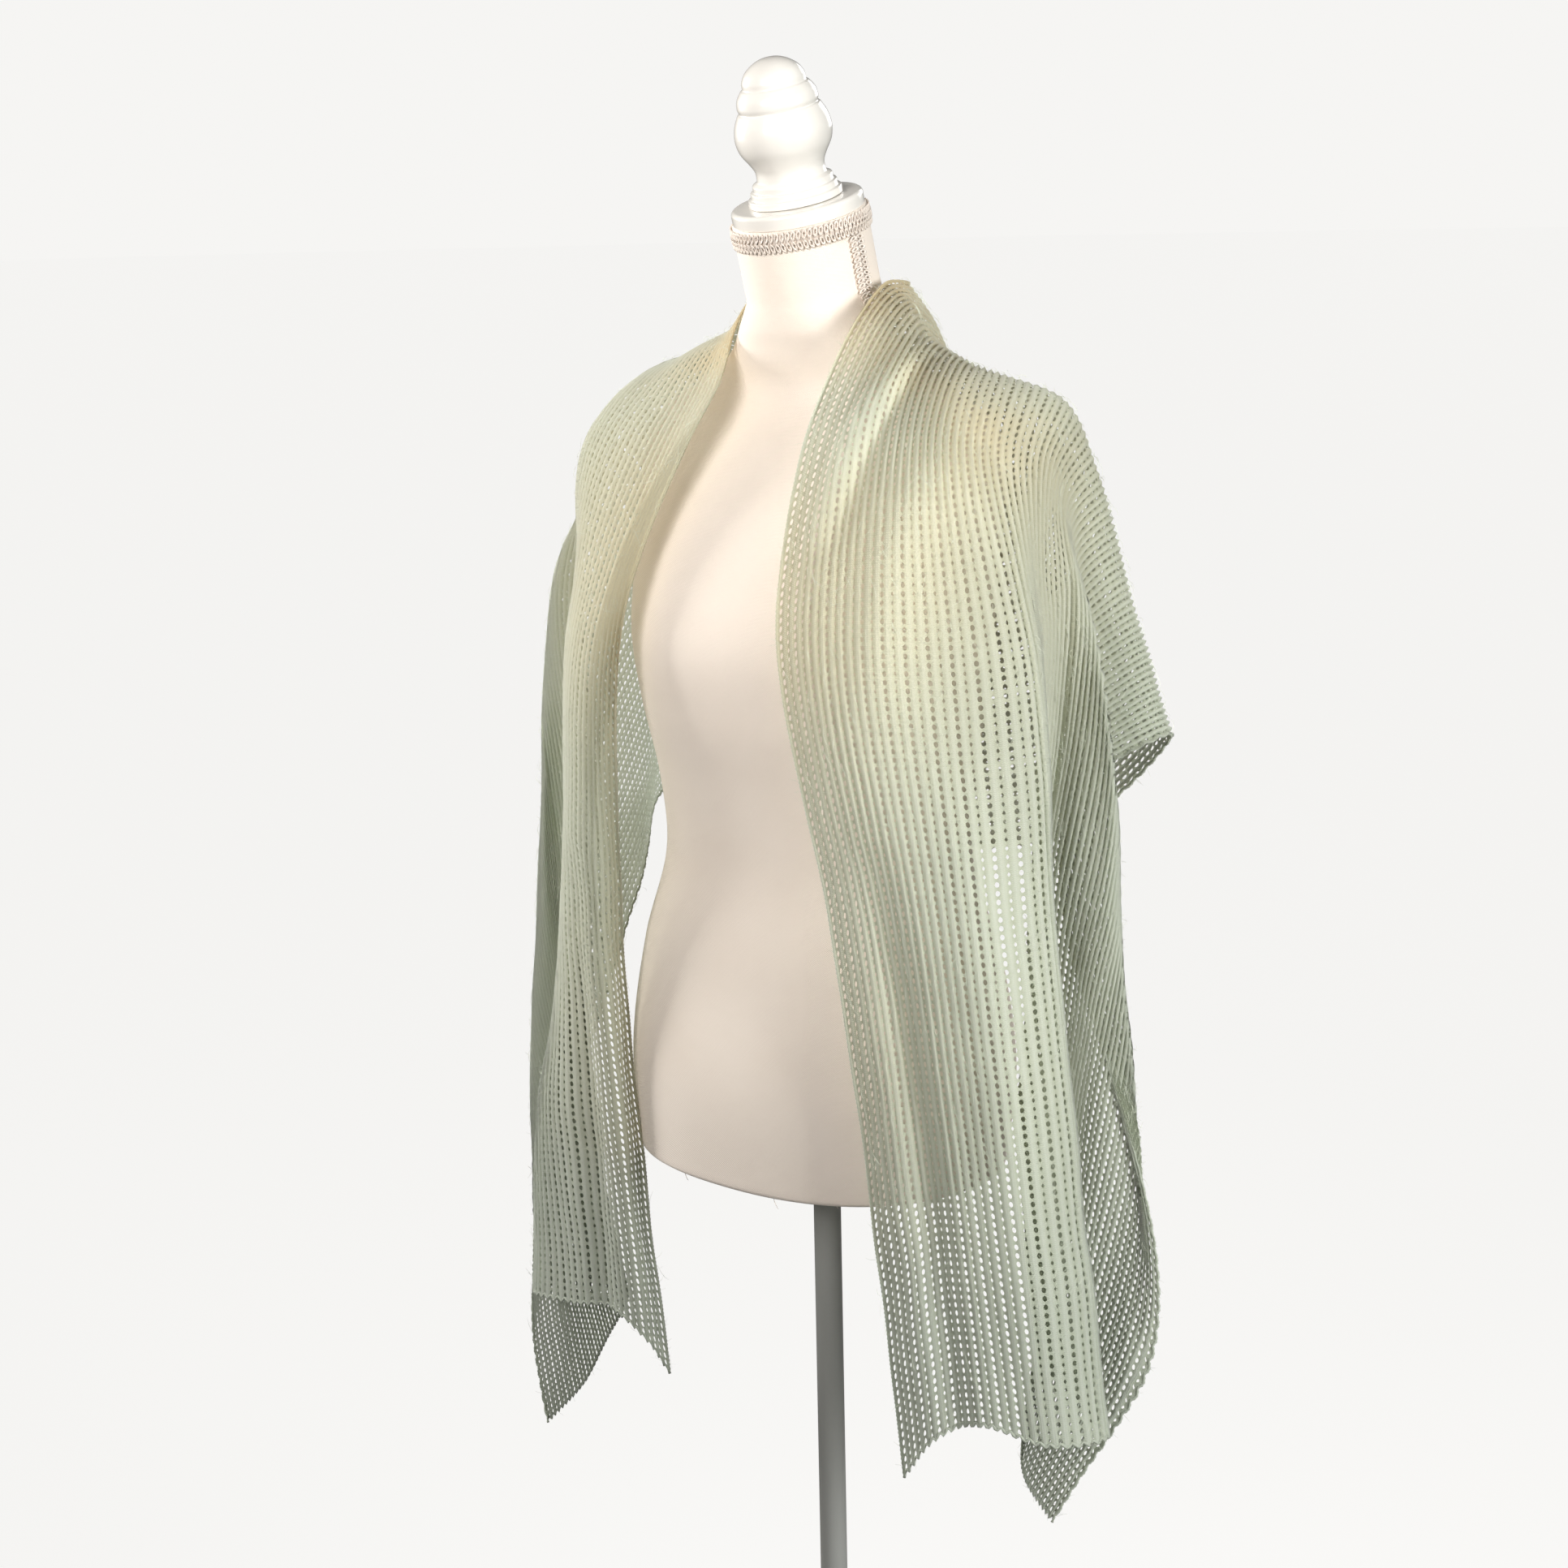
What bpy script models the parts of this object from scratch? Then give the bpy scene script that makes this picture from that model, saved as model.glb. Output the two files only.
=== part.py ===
"""A ribbed lace stole worn open over the shoulders of a limbless dress form.

Metres, +Z up. The form faces -Y and its left side is +X. The origin is the
centre of the flat underside of the stand's base, on the floor.

The stole is one knitted rectangle. A point on it has two cloth measures:
along, from the centre of the back to a short end, and across, from the edge
at the neck to the opposite edge. Its ribs run along it. Each shoulder has one
table of folds: a row is one rib, found by its measure across, and a column is
the place where that rib crosses one named line of the drape.
"""
import math

import bmesh
import bpy
import numpy as np

# Driving sizes of the stole
STOLE_WIDTH = 0.520
STOLE_HALF_LENGTH = 1.000
WALL = 0.0020
RIB_COUNT = 40
RIB_RISE = 0.0013
SEAM_GAP = 0.0003
PROBE = 0.002
BACK_REACH = 0.170
NAPE_HEIGHT = 1.488
NAPE_DEPTH = 0.072
BACK_FULLNESS = 0.055
BACK_FULLNESS_OVER = 0.09
BACK_FALL = 0.90
BLADE_OUT = 0.60
BLADE_TOWARDS_SHOULDER = 0.25
BLADE_FULLNESS = 0.012
BLADE_RISE = 0.30
DRAPE_STEPS = 17
DRAPE_CROWDING = 1.3
BACK_STEPS = 8

# Driving sizes of the dress form and its stand
FORM_HEM_Z = 0.800
CLEARANCE = 0.0003
NECK_TILT = math.radians(14.6)
NECK_BASE = (0.0, 0.009, 1.470)
NECK_LENGTH = 0.079
NECK_RADIUS = 0.0520
CAP_RADIUS = 0.0510
CAP_THICK = 0.0115
CAP_EDGE = 0.0015
FINIAL_HEIGHT = 0.108
BRAID_HEIGHT = 0.0125
BRAID_THICK = 0.0030
BRAID_EDGE = 0.001
DROP_HALF_ANGLE = math.radians(5.5)
DROP_SPREAD = 0.0052
POLE_RADIUS = 0.0112
BASE_RADIUS = 0.155
BASE_THICK = 0.018
BASE_RIM = 0.006
FORM_SEGMENTS = 32
FORM_LEVELS = 23
SHARP_ANGLE = math.radians(50)

# Each row: across, then six places (out from the centre, forward - or back +,
# height). On ribs near the neck they are the shoulder top, upper chest, bust,
# waist, hip and end. On ribs near the outer edge they are the back corner fold,
# the hollow before it, the crest at the side and three places down to the end.
LEFT_FOLDS = (
    (0.000, (0.060, 0.020, 1.495), (0.079, -0.080, 1.415), (0.086, -0.138, 1.275),
     (0.125, -0.130, 1.030), (0.151, -0.120, 0.821), (0.180, -0.120, 0.608)),
    (0.040, (0.078, 0.030, 1.478), (0.108, -0.075, 1.408), (0.122, -0.128, 1.265),
     (0.160, -0.124, 1.025), (0.187, -0.118, 0.822), (0.212, -0.120, 0.648)),
    (0.080, (0.092, 0.035, 1.452), (0.135, -0.062, 1.400), (0.158, -0.108, 1.255),
     (0.195, -0.108, 1.020), (0.222, -0.105, 0.822), (0.246, -0.108, 0.663)),
    (0.125, (0.118, 0.045, 1.436), (0.165, -0.045, 1.388), (0.200, -0.070, 1.245),
     (0.232, -0.078, 1.010), (0.258, -0.078, 0.822), (0.285, -0.080, 0.650)),
    (0.165, (0.152, 0.050, 1.425), (0.190, -0.020, 1.378), (0.233, -0.030, 1.237),
     (0.257, -0.030, 1.000), (0.280, -0.032, 0.820), (0.310, -0.040, 0.648)),
    (0.210, (0.193, 0.062, 1.407), (0.205, 0.020, 1.372), (0.222, 0.000, 1.240),
     (0.228, -0.022, 1.000), (0.240, -0.030, 0.820), (0.278, -0.024, 0.660)),
    (0.270, (0.202, 0.092, 1.352), (0.205, 0.055, 1.330), (0.221, 0.046, 1.270),
     (0.222, -0.005, 1.020), (0.222, -0.026, 0.820), (0.240, -0.022, 0.672)),
    (0.330, (0.211, 0.105, 1.300), (0.207, 0.066, 1.282), (0.252, 0.048, 1.130),
     (0.240, 0.018, 0.980), (0.232, -0.008, 0.800), (0.228, -0.024, 0.655)),
    (0.390, (0.221, 0.112, 1.247), (0.211, 0.074, 1.228), (0.257, 0.050, 0.980),
     (0.248, 0.025, 0.870), (0.238, -0.002, 0.745), (0.225, -0.030, 0.625)),
    (0.455, (0.233, 0.119, 1.197), (0.217, 0.082, 1.178), (0.273, 0.046, 0.810),
     (0.266, 0.022, 0.735), (0.252, -0.004, 0.665), (0.229, -0.034, 0.590)),
    (0.520, (0.244, 0.125, 1.150), (0.224, 0.088, 1.134), (0.292, 0.022, 0.655),
     (0.284, 0.008, 0.632), (0.270, -0.012, 0.600), (0.253, -0.030, 0.560)),
)
RIGHT_FOLDS = (
    (0.000, (0.062, 0.018, 1.486), (0.042, -0.068, 1.412), (0.072, -0.132, 1.272),
     (0.118, -0.110, 1.060), (0.115, -0.100, 0.820), (0.089, -0.100, 0.611)),
    (0.035, (0.085, 0.025, 1.464), (0.072, -0.066, 1.400), (0.098, -0.136, 1.250),
     (0.120, -0.136, 1.055), (0.118, -0.124, 0.820), (0.105, -0.118, 0.650)),
    (0.065, (0.112, 0.027, 1.452), (0.103, -0.064, 1.396), (0.128, -0.130, 1.245),
     (0.150, -0.132, 1.052), (0.150, -0.126, 0.820), (0.140, -0.122, 0.660)),
    (0.100, (0.147, 0.027, 1.438), (0.145, -0.060, 1.390), (0.162, -0.112, 1.240),
     (0.184, -0.106, 1.050), (0.205, -0.108, 0.820), (0.190, -0.112, 0.650)),
    (0.145, (0.186, 0.025, 1.422), (0.192, -0.046, 1.384), (0.178, -0.085, 1.235),
     (0.180, -0.075, 1.050), (0.243, -0.092, 0.800), (0.268, -0.084, 0.630)),
    (0.200, (0.200, 0.045, 1.376), (0.200, -0.022, 1.346), (0.207, -0.068, 1.290),
     (0.200, -0.070, 1.060), (0.225, -0.065, 0.800), (0.255, -0.050, 0.635)),
    (0.260, (0.217, 0.060, 1.315), (0.215, 0.005, 1.285), (0.225, -0.080, 1.165),
     (0.222, -0.078, 1.020), (0.205, -0.060, 0.790), (0.215, -0.045, 0.640)),
    (0.320, (0.231, 0.070, 1.258), (0.226, 0.022, 1.225), (0.236, -0.085, 1.030),
     (0.228, -0.080, 0.930), (0.215, -0.062, 0.770), (0.215, -0.025, 0.620)),
    (0.390, (0.248, 0.082, 1.185), (0.238, 0.038, 1.150), (0.250, -0.085, 0.900),
     (0.240, -0.078, 0.820), (0.235, -0.062, 0.700), (0.235, -0.030, 0.580)),
    (0.455, (0.264, 0.092, 1.110), (0.248, 0.050, 1.075), (0.266, -0.078, 0.760),
     (0.258, -0.072, 0.700), (0.256, -0.058, 0.610), (0.258, -0.040, 0.533)),
    (0.520, (0.280, 0.098, 1.040), (0.256, 0.060, 1.003), (0.280, -0.070, 0.660),
     (0.300, -0.058, 0.600), (0.305, -0.052, 0.552), (0.295, -0.050, 0.490)),
)

# height, half width, front depth, back depth
TORSO_RINGS = (
    (0.800, 0.160, 0.128, 0.103),
    (0.880, 0.168, 0.126, 0.114),
    (0.970, 0.158, 0.110, 0.102),
    (1.050, 0.135, 0.096, 0.084),
    (1.110, 0.138, 0.102, 0.086),
    (1.170, 0.146, 0.118, 0.094),
    (1.225, 0.151, 0.126, 0.102),
    (1.285, 0.155, 0.110, 0.106),
    (1.335, 0.163, 0.084, 0.104),
    (1.372, 0.168, 0.056, 0.096),
    (1.396, 0.154, 0.036, 0.086),
    (1.418, 0.112, 0.028, 0.074),
    (1.440, 0.076, 0.036, 0.066),
    (1.462, 0.058, 0.045, 0.061),
)
TORSO_SQUARENESS = 2.3

# share of the finial's height, radius
FINIAL_PROFILE = (
    (0.000, 0.0362), (0.050, 0.0362), (0.056, 0.0335), (0.097, 0.0335),
    (0.103, 0.0310), (0.145, 0.0310), (0.165, 0.0268), (0.235, 0.0262),
    (0.300, 0.0300), (0.380, 0.0358), (0.475, 0.0378), (0.570, 0.0358),
    (0.642, 0.0318), (0.650, 0.0300), (0.682, 0.0314), (0.745, 0.0305),
    (0.800, 0.0262), (0.808, 0.0244), (0.850, 0.0246), (0.912, 0.0214),
    (0.960, 0.0150), (0.990, 0.0080), (1.000, 0.0),
)


def clear_scene():
    """Remove every object, so that the script starts from nothing."""
    for item in list(bpy.data.objects):
        bpy.data.objects.remove(item, do_unlink=True)


def material(name, colour, roughness, metallic=0.0):
    """One Principled material for one sub-part."""
    made = bpy.data.materials.new(name)
    made.use_nodes = True
    shader = made.node_tree.nodes["Principled BSDF"]
    shader.inputs["Base Color"].default_value = (*colour, 1.0)
    shader.inputs["Roughness"].default_value = roughness
    shader.inputs["Metallic"].default_value = metallic
    return made


def add_object(name, mesh, finish, smooth=True):
    """Put a mesh into the part's collection as a named sub-part."""
    made = bpy.data.objects.new(name, mesh)
    mesh.materials.append(finish)
    if smooth:
        mesh.shade_smooth()
    PARTS.objects.link(made)
    return made


def smooth_through(knots, values, places):
    """Read a soft curve through a few values at evenly or unevenly spaced knots."""
    knots = np.asarray(knots, float)
    values = np.asarray(values, float)
    steps = np.diff(knots)
    slopes = np.diff(values, axis=0) / steps.reshape(-1, *([1] * (values.ndim - 1)))
    tangents = np.empty_like(values)
    tangents[0] = slopes[0]
    tangents[-1] = slopes[-1]
    for i in range(1, len(knots) - 1):
        before, after = steps[i - 1], steps[i]
        tangents[i] = (slopes[i - 1] * after + slopes[i] * before) / (before + after)
    places = np.clip(np.asarray(places, float), knots[0], knots[-1])
    spans = np.clip(np.searchsorted(knots, places, side="right") - 1, 0, len(steps) - 1)
    shape = (-1, *([1] * (values.ndim - 1)))
    width = steps[spans].reshape(shape)
    u = ((places - knots[spans]) / steps[spans]).reshape(shape)
    start, end = values[spans], values[spans + 1]
    leave, arrive = tangents[spans] * width, tangents[spans + 1] * width
    return ((2 * u**3 - 3 * u**2 + 1) * start + (u**3 - 2 * u**2 + u) * leave
            + (3 * u**2 - 2 * u**3) * end + (u**3 - u**2) * arrive)


def centre_of_back(across):
    """Where a rib crosses the centre of the back, below the nape."""
    fullness = BACK_FULLNESS * (1.0 - math.exp(-across / BACK_FULLNESS_OVER))
    return (0.0, NAPE_DEPTH + fullness, NAPE_HEIGHT - BACK_FALL * across)


def shoulder_blade(centre, shoulder):
    """Where a rib lies between the centre of the back and the shoulder."""
    return (BLADE_OUT * shoulder[0],
            centre[1] + BLADE_TOWARDS_SHOULDER * (shoulder[1] - centre[1]) + BLADE_FULLNESS,
            centre[2] + BLADE_RISE * (shoulder[2] - centre[2]))


def drape(folds, side, along, across):
    """Points of the cloth on one side, for cloth measures along and across it."""
    rows = []
    for row in folds:
        centre = centre_of_back(row[0])
        stations = [centre, shoulder_blade(centre, row[1])] + list(row[1:])
        rows.append([(side * out, depth, height) for out, depth, height in stations])
    knots = np.array([row[0] for row in folds]) * STOLE_WIDTH / folds[-1][0]
    ribs = smooth_through(knots, np.array(rows), across)
    cloth = np.empty((len(along), len(across), 3))
    share = np.clip(np.asarray(along) / STOLE_HALF_LENGTH, 0.0, 1.0)
    for j, rib in enumerate(ribs):
        lengths = np.linalg.norm(np.diff(rib, axis=0), axis=1)
        reach = np.concatenate([[0.0], np.cumsum(lengths)])
        cloth[:, j] = smooth_through(reach, rib, share * reach[-1])
    return cloth


def outward(folds, side, along, across):
    """Unit normals of the cloth on one side, pointing away from the body."""
    down = drape(folds, side, along + PROBE, across) - drape(folds, side, along - PROBE, across)
    over = drape(folds, side, along, across + PROBE) - drape(folds, side, along, across - PROBE)
    normals = np.cross(down, over) * side
    return normals / np.linalg.norm(normals, axis=2, keepdims=True)


def rib_rise(across):
    """How far the outer face stands up at a measure across: ribs between valleys."""
    place = np.asarray(across) / STOLE_WIDTH * RIB_COUNT
    return RIB_RISE * (0.5 - 0.5 * np.cos(2.0 * math.pi * place))


def face_out(bm):
    """Turn all faces of one closed solid outwards."""
    bmesh.ops.recalc_face_normals(bm, faces=bm.faces[:])
    if bm.calc_volume(signed=True) < 0.0:
        bmesh.ops.reverse_faces(bm, faces=bm.faces[:])


def cloth_wall(name, middle, normals, across, finish):
    """A closed wall: a plain inner face and an outer face with raised ribs."""
    rows, columns = middle.shape[:2]
    bm = bmesh.new()
    bmesh.ops.create_grid(bm, x_segments=rows - 1, y_segments=columns - 1, size=0.5)
    skin = bmesh.ops.extrude_face_region(bm, geom=bm.faces[:], use_keep_orig=True)
    raised = {item for item in skin["geom"] if isinstance(item, bmesh.types.BMVert)}
    rise = rib_rise(across)
    for vert in bm.verts:
        i = round((vert.co.x + 0.5) * (rows - 1))
        j = round((vert.co.y + 0.5) * (columns - 1))
        offset = 0.5 * WALL + rise[j] if vert in raised else -0.5 * WALL
        vert.co = middle[i, j] + normals[i, j] * offset
    bmesh.ops.triangulate(bm, faces=bm.faces[:])
    face_out(bm)
    mesh = bpy.data.meshes.new(name)
    bm.to_mesh(mesh)
    bm.free()
    return add_object(name, mesh, finish)


def stole():
    """The stole in three stretches that meet at the shoulders with a fine gap."""
    wool = material("mint_wool", (0.62, 0.72, 0.52), 0.9)
    across = np.linspace(0.0, STOLE_WIDTH, 2 * RIB_COUNT + 1)
    start = BACK_REACH + SEAM_GAP / 2
    crowded = np.linspace(0.0, 1.0, DRAPE_STEPS) ** DRAPE_CROWDING
    drape_along = start + (STOLE_HALF_LENGTH - start) * crowded
    for name, folds, side in (("shawl_left", LEFT_FOLDS, 1), ("shawl_right", RIGHT_FOLDS, -1)):
        middle = drape(folds, side, drape_along, across)
        cloth_wall(name, middle, outward(folds, side, drape_along, across), across, wool)
    half = np.linspace(0.0, BACK_REACH - SEAM_GAP / 2, BACK_STEPS // 2 + 1)
    left = drape(LEFT_FOLDS, 1, half, across)
    right = drape(RIGHT_FOLDS, -1, half, across)
    normals = outward(LEFT_FOLDS, 1, half, across)
    mirrored = outward(RIGHT_FOLDS, -1, half, across)
    normals[0] = (0.0, 1.0, 0.0)
    cloth_wall("shawl_back", np.concatenate([right[:0:-1], left]),
               np.concatenate([mirrored[:0:-1], normals]), across, wool)


def torso_radius(angle, half_width, depth):
    """The point at an angle on one half of a squared oval ring."""
    c, s = math.cos(angle), math.sin(angle)
    power = 2.0 / TORSO_SQUARENESS
    return (half_width * math.copysign(abs(c) ** power, c),
            depth * math.copysign(abs(s) ** power, s))


def loft(name, rings, finish):
    """A closed solid through rings that all have the same number of points."""
    bm = bmesh.new()
    first = bmesh.ops.create_circle(bm, segments=len(rings[0]), radius=1.0)["verts"]
    edges = bm.edges[:]
    for vert, place in zip(first, rings[0]):
        vert.co = place
    loop = list(first)
    for ring in rings[1:]:
        grown = bmesh.ops.extrude_edge_only(bm, edges=edges)["geom"]
        edges = [item for item in grown if isinstance(item, bmesh.types.BMEdge)
                 and all(len(v.link_faces) <= 2 for v in item.verts) and len(item.link_faces) == 1]
        fresh = [item for item in grown if isinstance(item, bmesh.types.BMVert)]
        matched = [min(fresh, key=lambda v, p=old.co.copy(): (v.co - p).length) for old in loop]
        for vert, place in zip(matched, ring):
            vert.co = place
        loop = matched
    bmesh.ops.holes_fill(bm, edges=bm.edges[:], sides=len(rings[0]))
    bmesh.ops.triangulate(bm, faces=bm.faces[:])
    face_out(bm)
    mesh = bpy.data.meshes.new(name)
    bm.to_mesh(mesh)
    bm.free()
    made = add_object(name, mesh, finish)
    mesh.set_sharp_from_angle(angle=SHARP_ANGLE)
    return made


def torso():
    """The limbless body with its neck, one smooth solid from hem to cap."""
    cream = material("cream_jersey", (0.78, 0.70, 0.62), 0.85)
    heights = [row[0] for row in TORSO_RINGS]
    levels = np.linspace(heights[0], heights[-1], FORM_LEVELS)
    sizes = smooth_through(heights, [row[1:] for row in TORSO_RINGS], levels)
    rings = []
    for level, (half_width, front, back) in zip(levels, sizes):
        ring = []
        for k in range(FORM_SEGMENTS):
            angle = 2.0 * math.pi * k / FORM_SEGMENTS
            depth = back if math.sin(angle) > 0 else front
            x, y = torso_radius(angle, half_width, depth)
            ring.append((x, y, level))
        rings.append(ring)
    for lift in (0.02, 0.05, NECK_LENGTH):
        rings.append([neck_point(2.0 * math.pi * k / FORM_SEGMENTS, NECK_RADIUS, lift)
                      for k in range(FORM_SEGMENTS)])
    loft("form_body", rings, cream)


def neck_point(angle, radius, lift):
    """A point round the tilted axis of the neck, lift above its base."""
    x = radius * math.cos(angle)
    y = radius * math.sin(angle)
    return (x,
            NECK_BASE[1] + y * math.cos(NECK_TILT) - lift * math.sin(NECK_TILT),
            NECK_BASE[2] + y * math.sin(NECK_TILT) + lift * math.cos(NECK_TILT))


def turned(name, profile, lift, finish, segments=24, closed=False):
    """A turned piece on the neck's axis: a profile of heights and radii, and a Screw.

    The profile runs down the piece's outer side. A closed one turns a ring.
    """
    bm = bmesh.new()
    verts = [bm.verts.new((radius, 0.0, height)) for height, radius in profile]
    for upper, lower in zip(verts, verts[1:]):
        bm.edges.new((upper, lower))
    if closed:
        bm.edges.new((verts[-1], verts[0]))
    mesh = bpy.data.meshes.new(name)
    bm.to_mesh(mesh)
    bm.free()
    made = add_object(name, mesh, finish)
    made.location = neck_point(0.0, 0.0, lift)
    made.rotation_euler = (NECK_TILT, 0.0, 0.0)
    screw = made.modifiers.new("turn", "SCREW")
    screw.axis = "Z"
    screw.steps = segments
    screw.render_steps = segments
    screw.use_merge_vertices = True
    screw.merge_threshold = 0.0001
    screw.use_smooth_shade = True
    return made


def neck_pieces():
    """The cap, the turned finial and the braid round the neck and down its side."""
    gloss = material("white_gloss_wood", (0.86, 0.85, 0.80), 0.15)
    trim = material("cream_braid", (0.74, 0.66, 0.58), 0.8)
    cap_lift = NECK_LENGTH + CLEARANCE
    turned("neck_cap", ((CAP_THICK, 0.0), (CAP_THICK, CAP_RADIUS - CAP_EDGE),
                        (CAP_THICK - CAP_EDGE, CAP_RADIUS), (CAP_EDGE, CAP_RADIUS),
                        (0.0, CAP_RADIUS - CAP_EDGE), (0.0, 0.0)), cap_lift, gloss, 36)
    finial = [(share * FINIAL_HEIGHT, radius) for share, radius in reversed(FINIAL_PROFILE)]
    finial.append((0.0, 0.0))
    turned("finial", finial, cap_lift + CAP_THICK + CLEARANCE, gloss)
    inner = NECK_RADIUS + CLEARANCE
    outer = inner + BRAID_THICK
    ring = ((BRAID_HEIGHT, inner), (BRAID_HEIGHT, outer - BRAID_EDGE),
            (BRAID_HEIGHT - BRAID_EDGE, outer), (BRAID_EDGE, outer),
            (0.0, outer - BRAID_EDGE), (0.0, inner))
    ring_lift = NECK_LENGTH - BRAID_HEIGHT - BRAID_EDGE
    turned("neck_braid", ring, ring_lift, trim, 36, closed=True)
    foot = inner + DROP_SPREAD
    rows = []
    for radius, lift in ((inner, ring_lift - CLEARANCE), (inner, 0.020), (foot, 0.002)):
        sweep = (-DROP_HALF_ANGLE, 0.0, DROP_HALF_ANGLE)
        under = [neck_point(angle, radius, lift) for angle in sweep]
        rows.append(under + [neck_point(angle, radius + BRAID_THICK, lift)
                             for angle in reversed(sweep)])
    loft("neck_braid_drop", rows, trim)


def stand():
    """The round pole and a plain round base."""
    enamel = material("white_enamel", (0.70, 0.71, 0.69), 0.35)
    bm = bmesh.new()
    top = FORM_HEM_Z - CLEARANCE
    bottom = BASE_THICK + CLEARANCE
    bmesh.ops.create_cone(bm, cap_ends=True, cap_tris=True, segments=20,
                          radius1=POLE_RADIUS, radius2=POLE_RADIUS, depth=top - bottom)
    bmesh.ops.translate(bm, verts=bm.verts[:], vec=(0.0, 0.0, (top + bottom) / 2.0))
    mesh = bpy.data.meshes.new("pole")
    bm.to_mesh(mesh)
    bm.free()
    add_object("pole", mesh, enamel)
    mesh.set_sharp_from_angle(angle=SHARP_ANGLE)
    bm = bmesh.new()
    bmesh.ops.create_cone(bm, cap_ends=True, cap_tris=False, segments=40,
                          radius1=BASE_RADIUS, radius2=BASE_RADIUS, depth=BASE_THICK)
    bmesh.ops.translate(bm, verts=bm.verts[:], vec=(0.0, 0.0, BASE_THICK / 2.0))
    rim = [edge for edge in bm.edges if all(v.co.z > BASE_THICK / 2.0 for v in edge.verts)]
    bmesh.ops.bevel(bm, geom=rim, offset=BASE_RIM, offset_type="OFFSET", segments=3,
                    profile=0.5, affect="EDGES", material=-1)
    mesh = bpy.data.meshes.new("base")
    bm.to_mesh(mesh)
    bm.free()
    add_object("base", mesh, enamel)
    mesh.set_sharp_from_angle(angle=SHARP_ANGLE)


clear_scene()
PARTS = bpy.data.collections.new("lace_stole_on_dress_form")
bpy.context.scene.collection.children.link(PARTS)
stole()
torso()
neck_pieces()
stand()
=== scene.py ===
# %% [markdown]
# # A ribbed lace shawl on a dress form
# The shawl is one long rectangle of knitted lace, worn open over the shoulders
# of a limbless dress form. The fixed frame from the part's own solids is loaded
# first, so that every piece here is made in metres in the same space.

# %% Load the frame
import math

import bmesh
import bpy
import numpy as np
from mathutils import Matrix, Vector, noise


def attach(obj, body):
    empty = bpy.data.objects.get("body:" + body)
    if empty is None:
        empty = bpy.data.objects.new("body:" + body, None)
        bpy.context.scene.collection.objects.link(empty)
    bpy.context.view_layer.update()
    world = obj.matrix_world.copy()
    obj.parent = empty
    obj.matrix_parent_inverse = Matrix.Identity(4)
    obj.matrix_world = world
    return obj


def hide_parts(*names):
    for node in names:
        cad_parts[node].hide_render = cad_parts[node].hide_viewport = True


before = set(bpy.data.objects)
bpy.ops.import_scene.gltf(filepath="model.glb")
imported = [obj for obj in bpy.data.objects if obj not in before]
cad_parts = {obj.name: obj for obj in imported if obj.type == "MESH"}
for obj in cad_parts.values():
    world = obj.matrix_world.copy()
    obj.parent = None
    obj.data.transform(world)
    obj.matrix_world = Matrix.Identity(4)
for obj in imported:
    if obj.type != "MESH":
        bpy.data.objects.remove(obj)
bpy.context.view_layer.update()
print("frame nodes:", ", ".join(sorted(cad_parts)))

# %% [markdown]
# ## Camera, floor and studio light
# The picture is taken with a fairly long lens from the form's front left, a
# little above the shoulders. The camera's three directions are written down as
# angles, so the same lines also turn it. A pale floor that reaches far back and
# a pale sky give the plain background. The light is one big soft source high at
# the front, with a weaker one from each side.

# %% The camera
TURN = math.radians(42.4243)
DIP = math.radians(12.1086)
LEAN = math.radians(-1.2323)
DISTANCE = 2.2959
SENSOR_WIDTH = 36.0
LENS = 66.27
AIM = Vector((0.0, 0.0, 1.1021)) - 0.0281 * Vector((math.cos(TURN), math.sin(TURN), 0.0))

level = Vector((math.cos(TURN), math.sin(TURN), 0.0))
away = Vector((math.sin(TURN) * math.cos(DIP), -math.cos(TURN) * math.cos(DIP), math.sin(DIP)))
upright = away.cross(level)
right = math.cos(LEAN) * level + math.sin(LEAN) * upright
up = -math.sin(LEAN) * level + math.cos(LEAN) * upright
eye = AIM + away * DISTANCE
view = bpy.data.cameras.new("camera")
view.sensor_width = SENSOR_WIDTH
view.lens = LENS
camera = bpy.data.objects.new("camera", view)
camera.matrix_world = Matrix((
    (right.x, up.x, away.x, eye.x),
    (right.y, up.y, away.y, eye.y),
    (right.z, up.z, away.z, eye.z),
    (0.0, 0.0, 0.0, 1.0)))
bpy.context.scene.collection.objects.link(camera)
bpy.context.scene.camera = camera
print("camera at", [round(v, 3) for v in eye])

# %% Colours and the first helper for materials
PALE = (0.920, 0.913, 0.896)


def finish(name, colour, roughness, sheen=0.0, coat=0.0):
    """One Principled material with its constant values set on the shader."""
    made = bpy.data.materials.new(name)
    made.use_nodes = True
    shader = made.node_tree.nodes["Principled BSDF"]
    shader.inputs["Base Color"].default_value = (*colour, 1.0)
    shader.inputs["Roughness"].default_value = roughness
    shader.inputs["Sheen Weight"].default_value = sheen
    shader.inputs["Coat Weight"].default_value = coat
    return made


bpy.context.scene.view_settings.view_transform = "Standard"
print("background colour:", PALE)

# %% Floor and sky
FLOOR_RADIUS = 60.0
FLOOR_SEEN = 0.95
FLOOR_GLOW = 0.05
SKY_STRENGTH = 0.21

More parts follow.
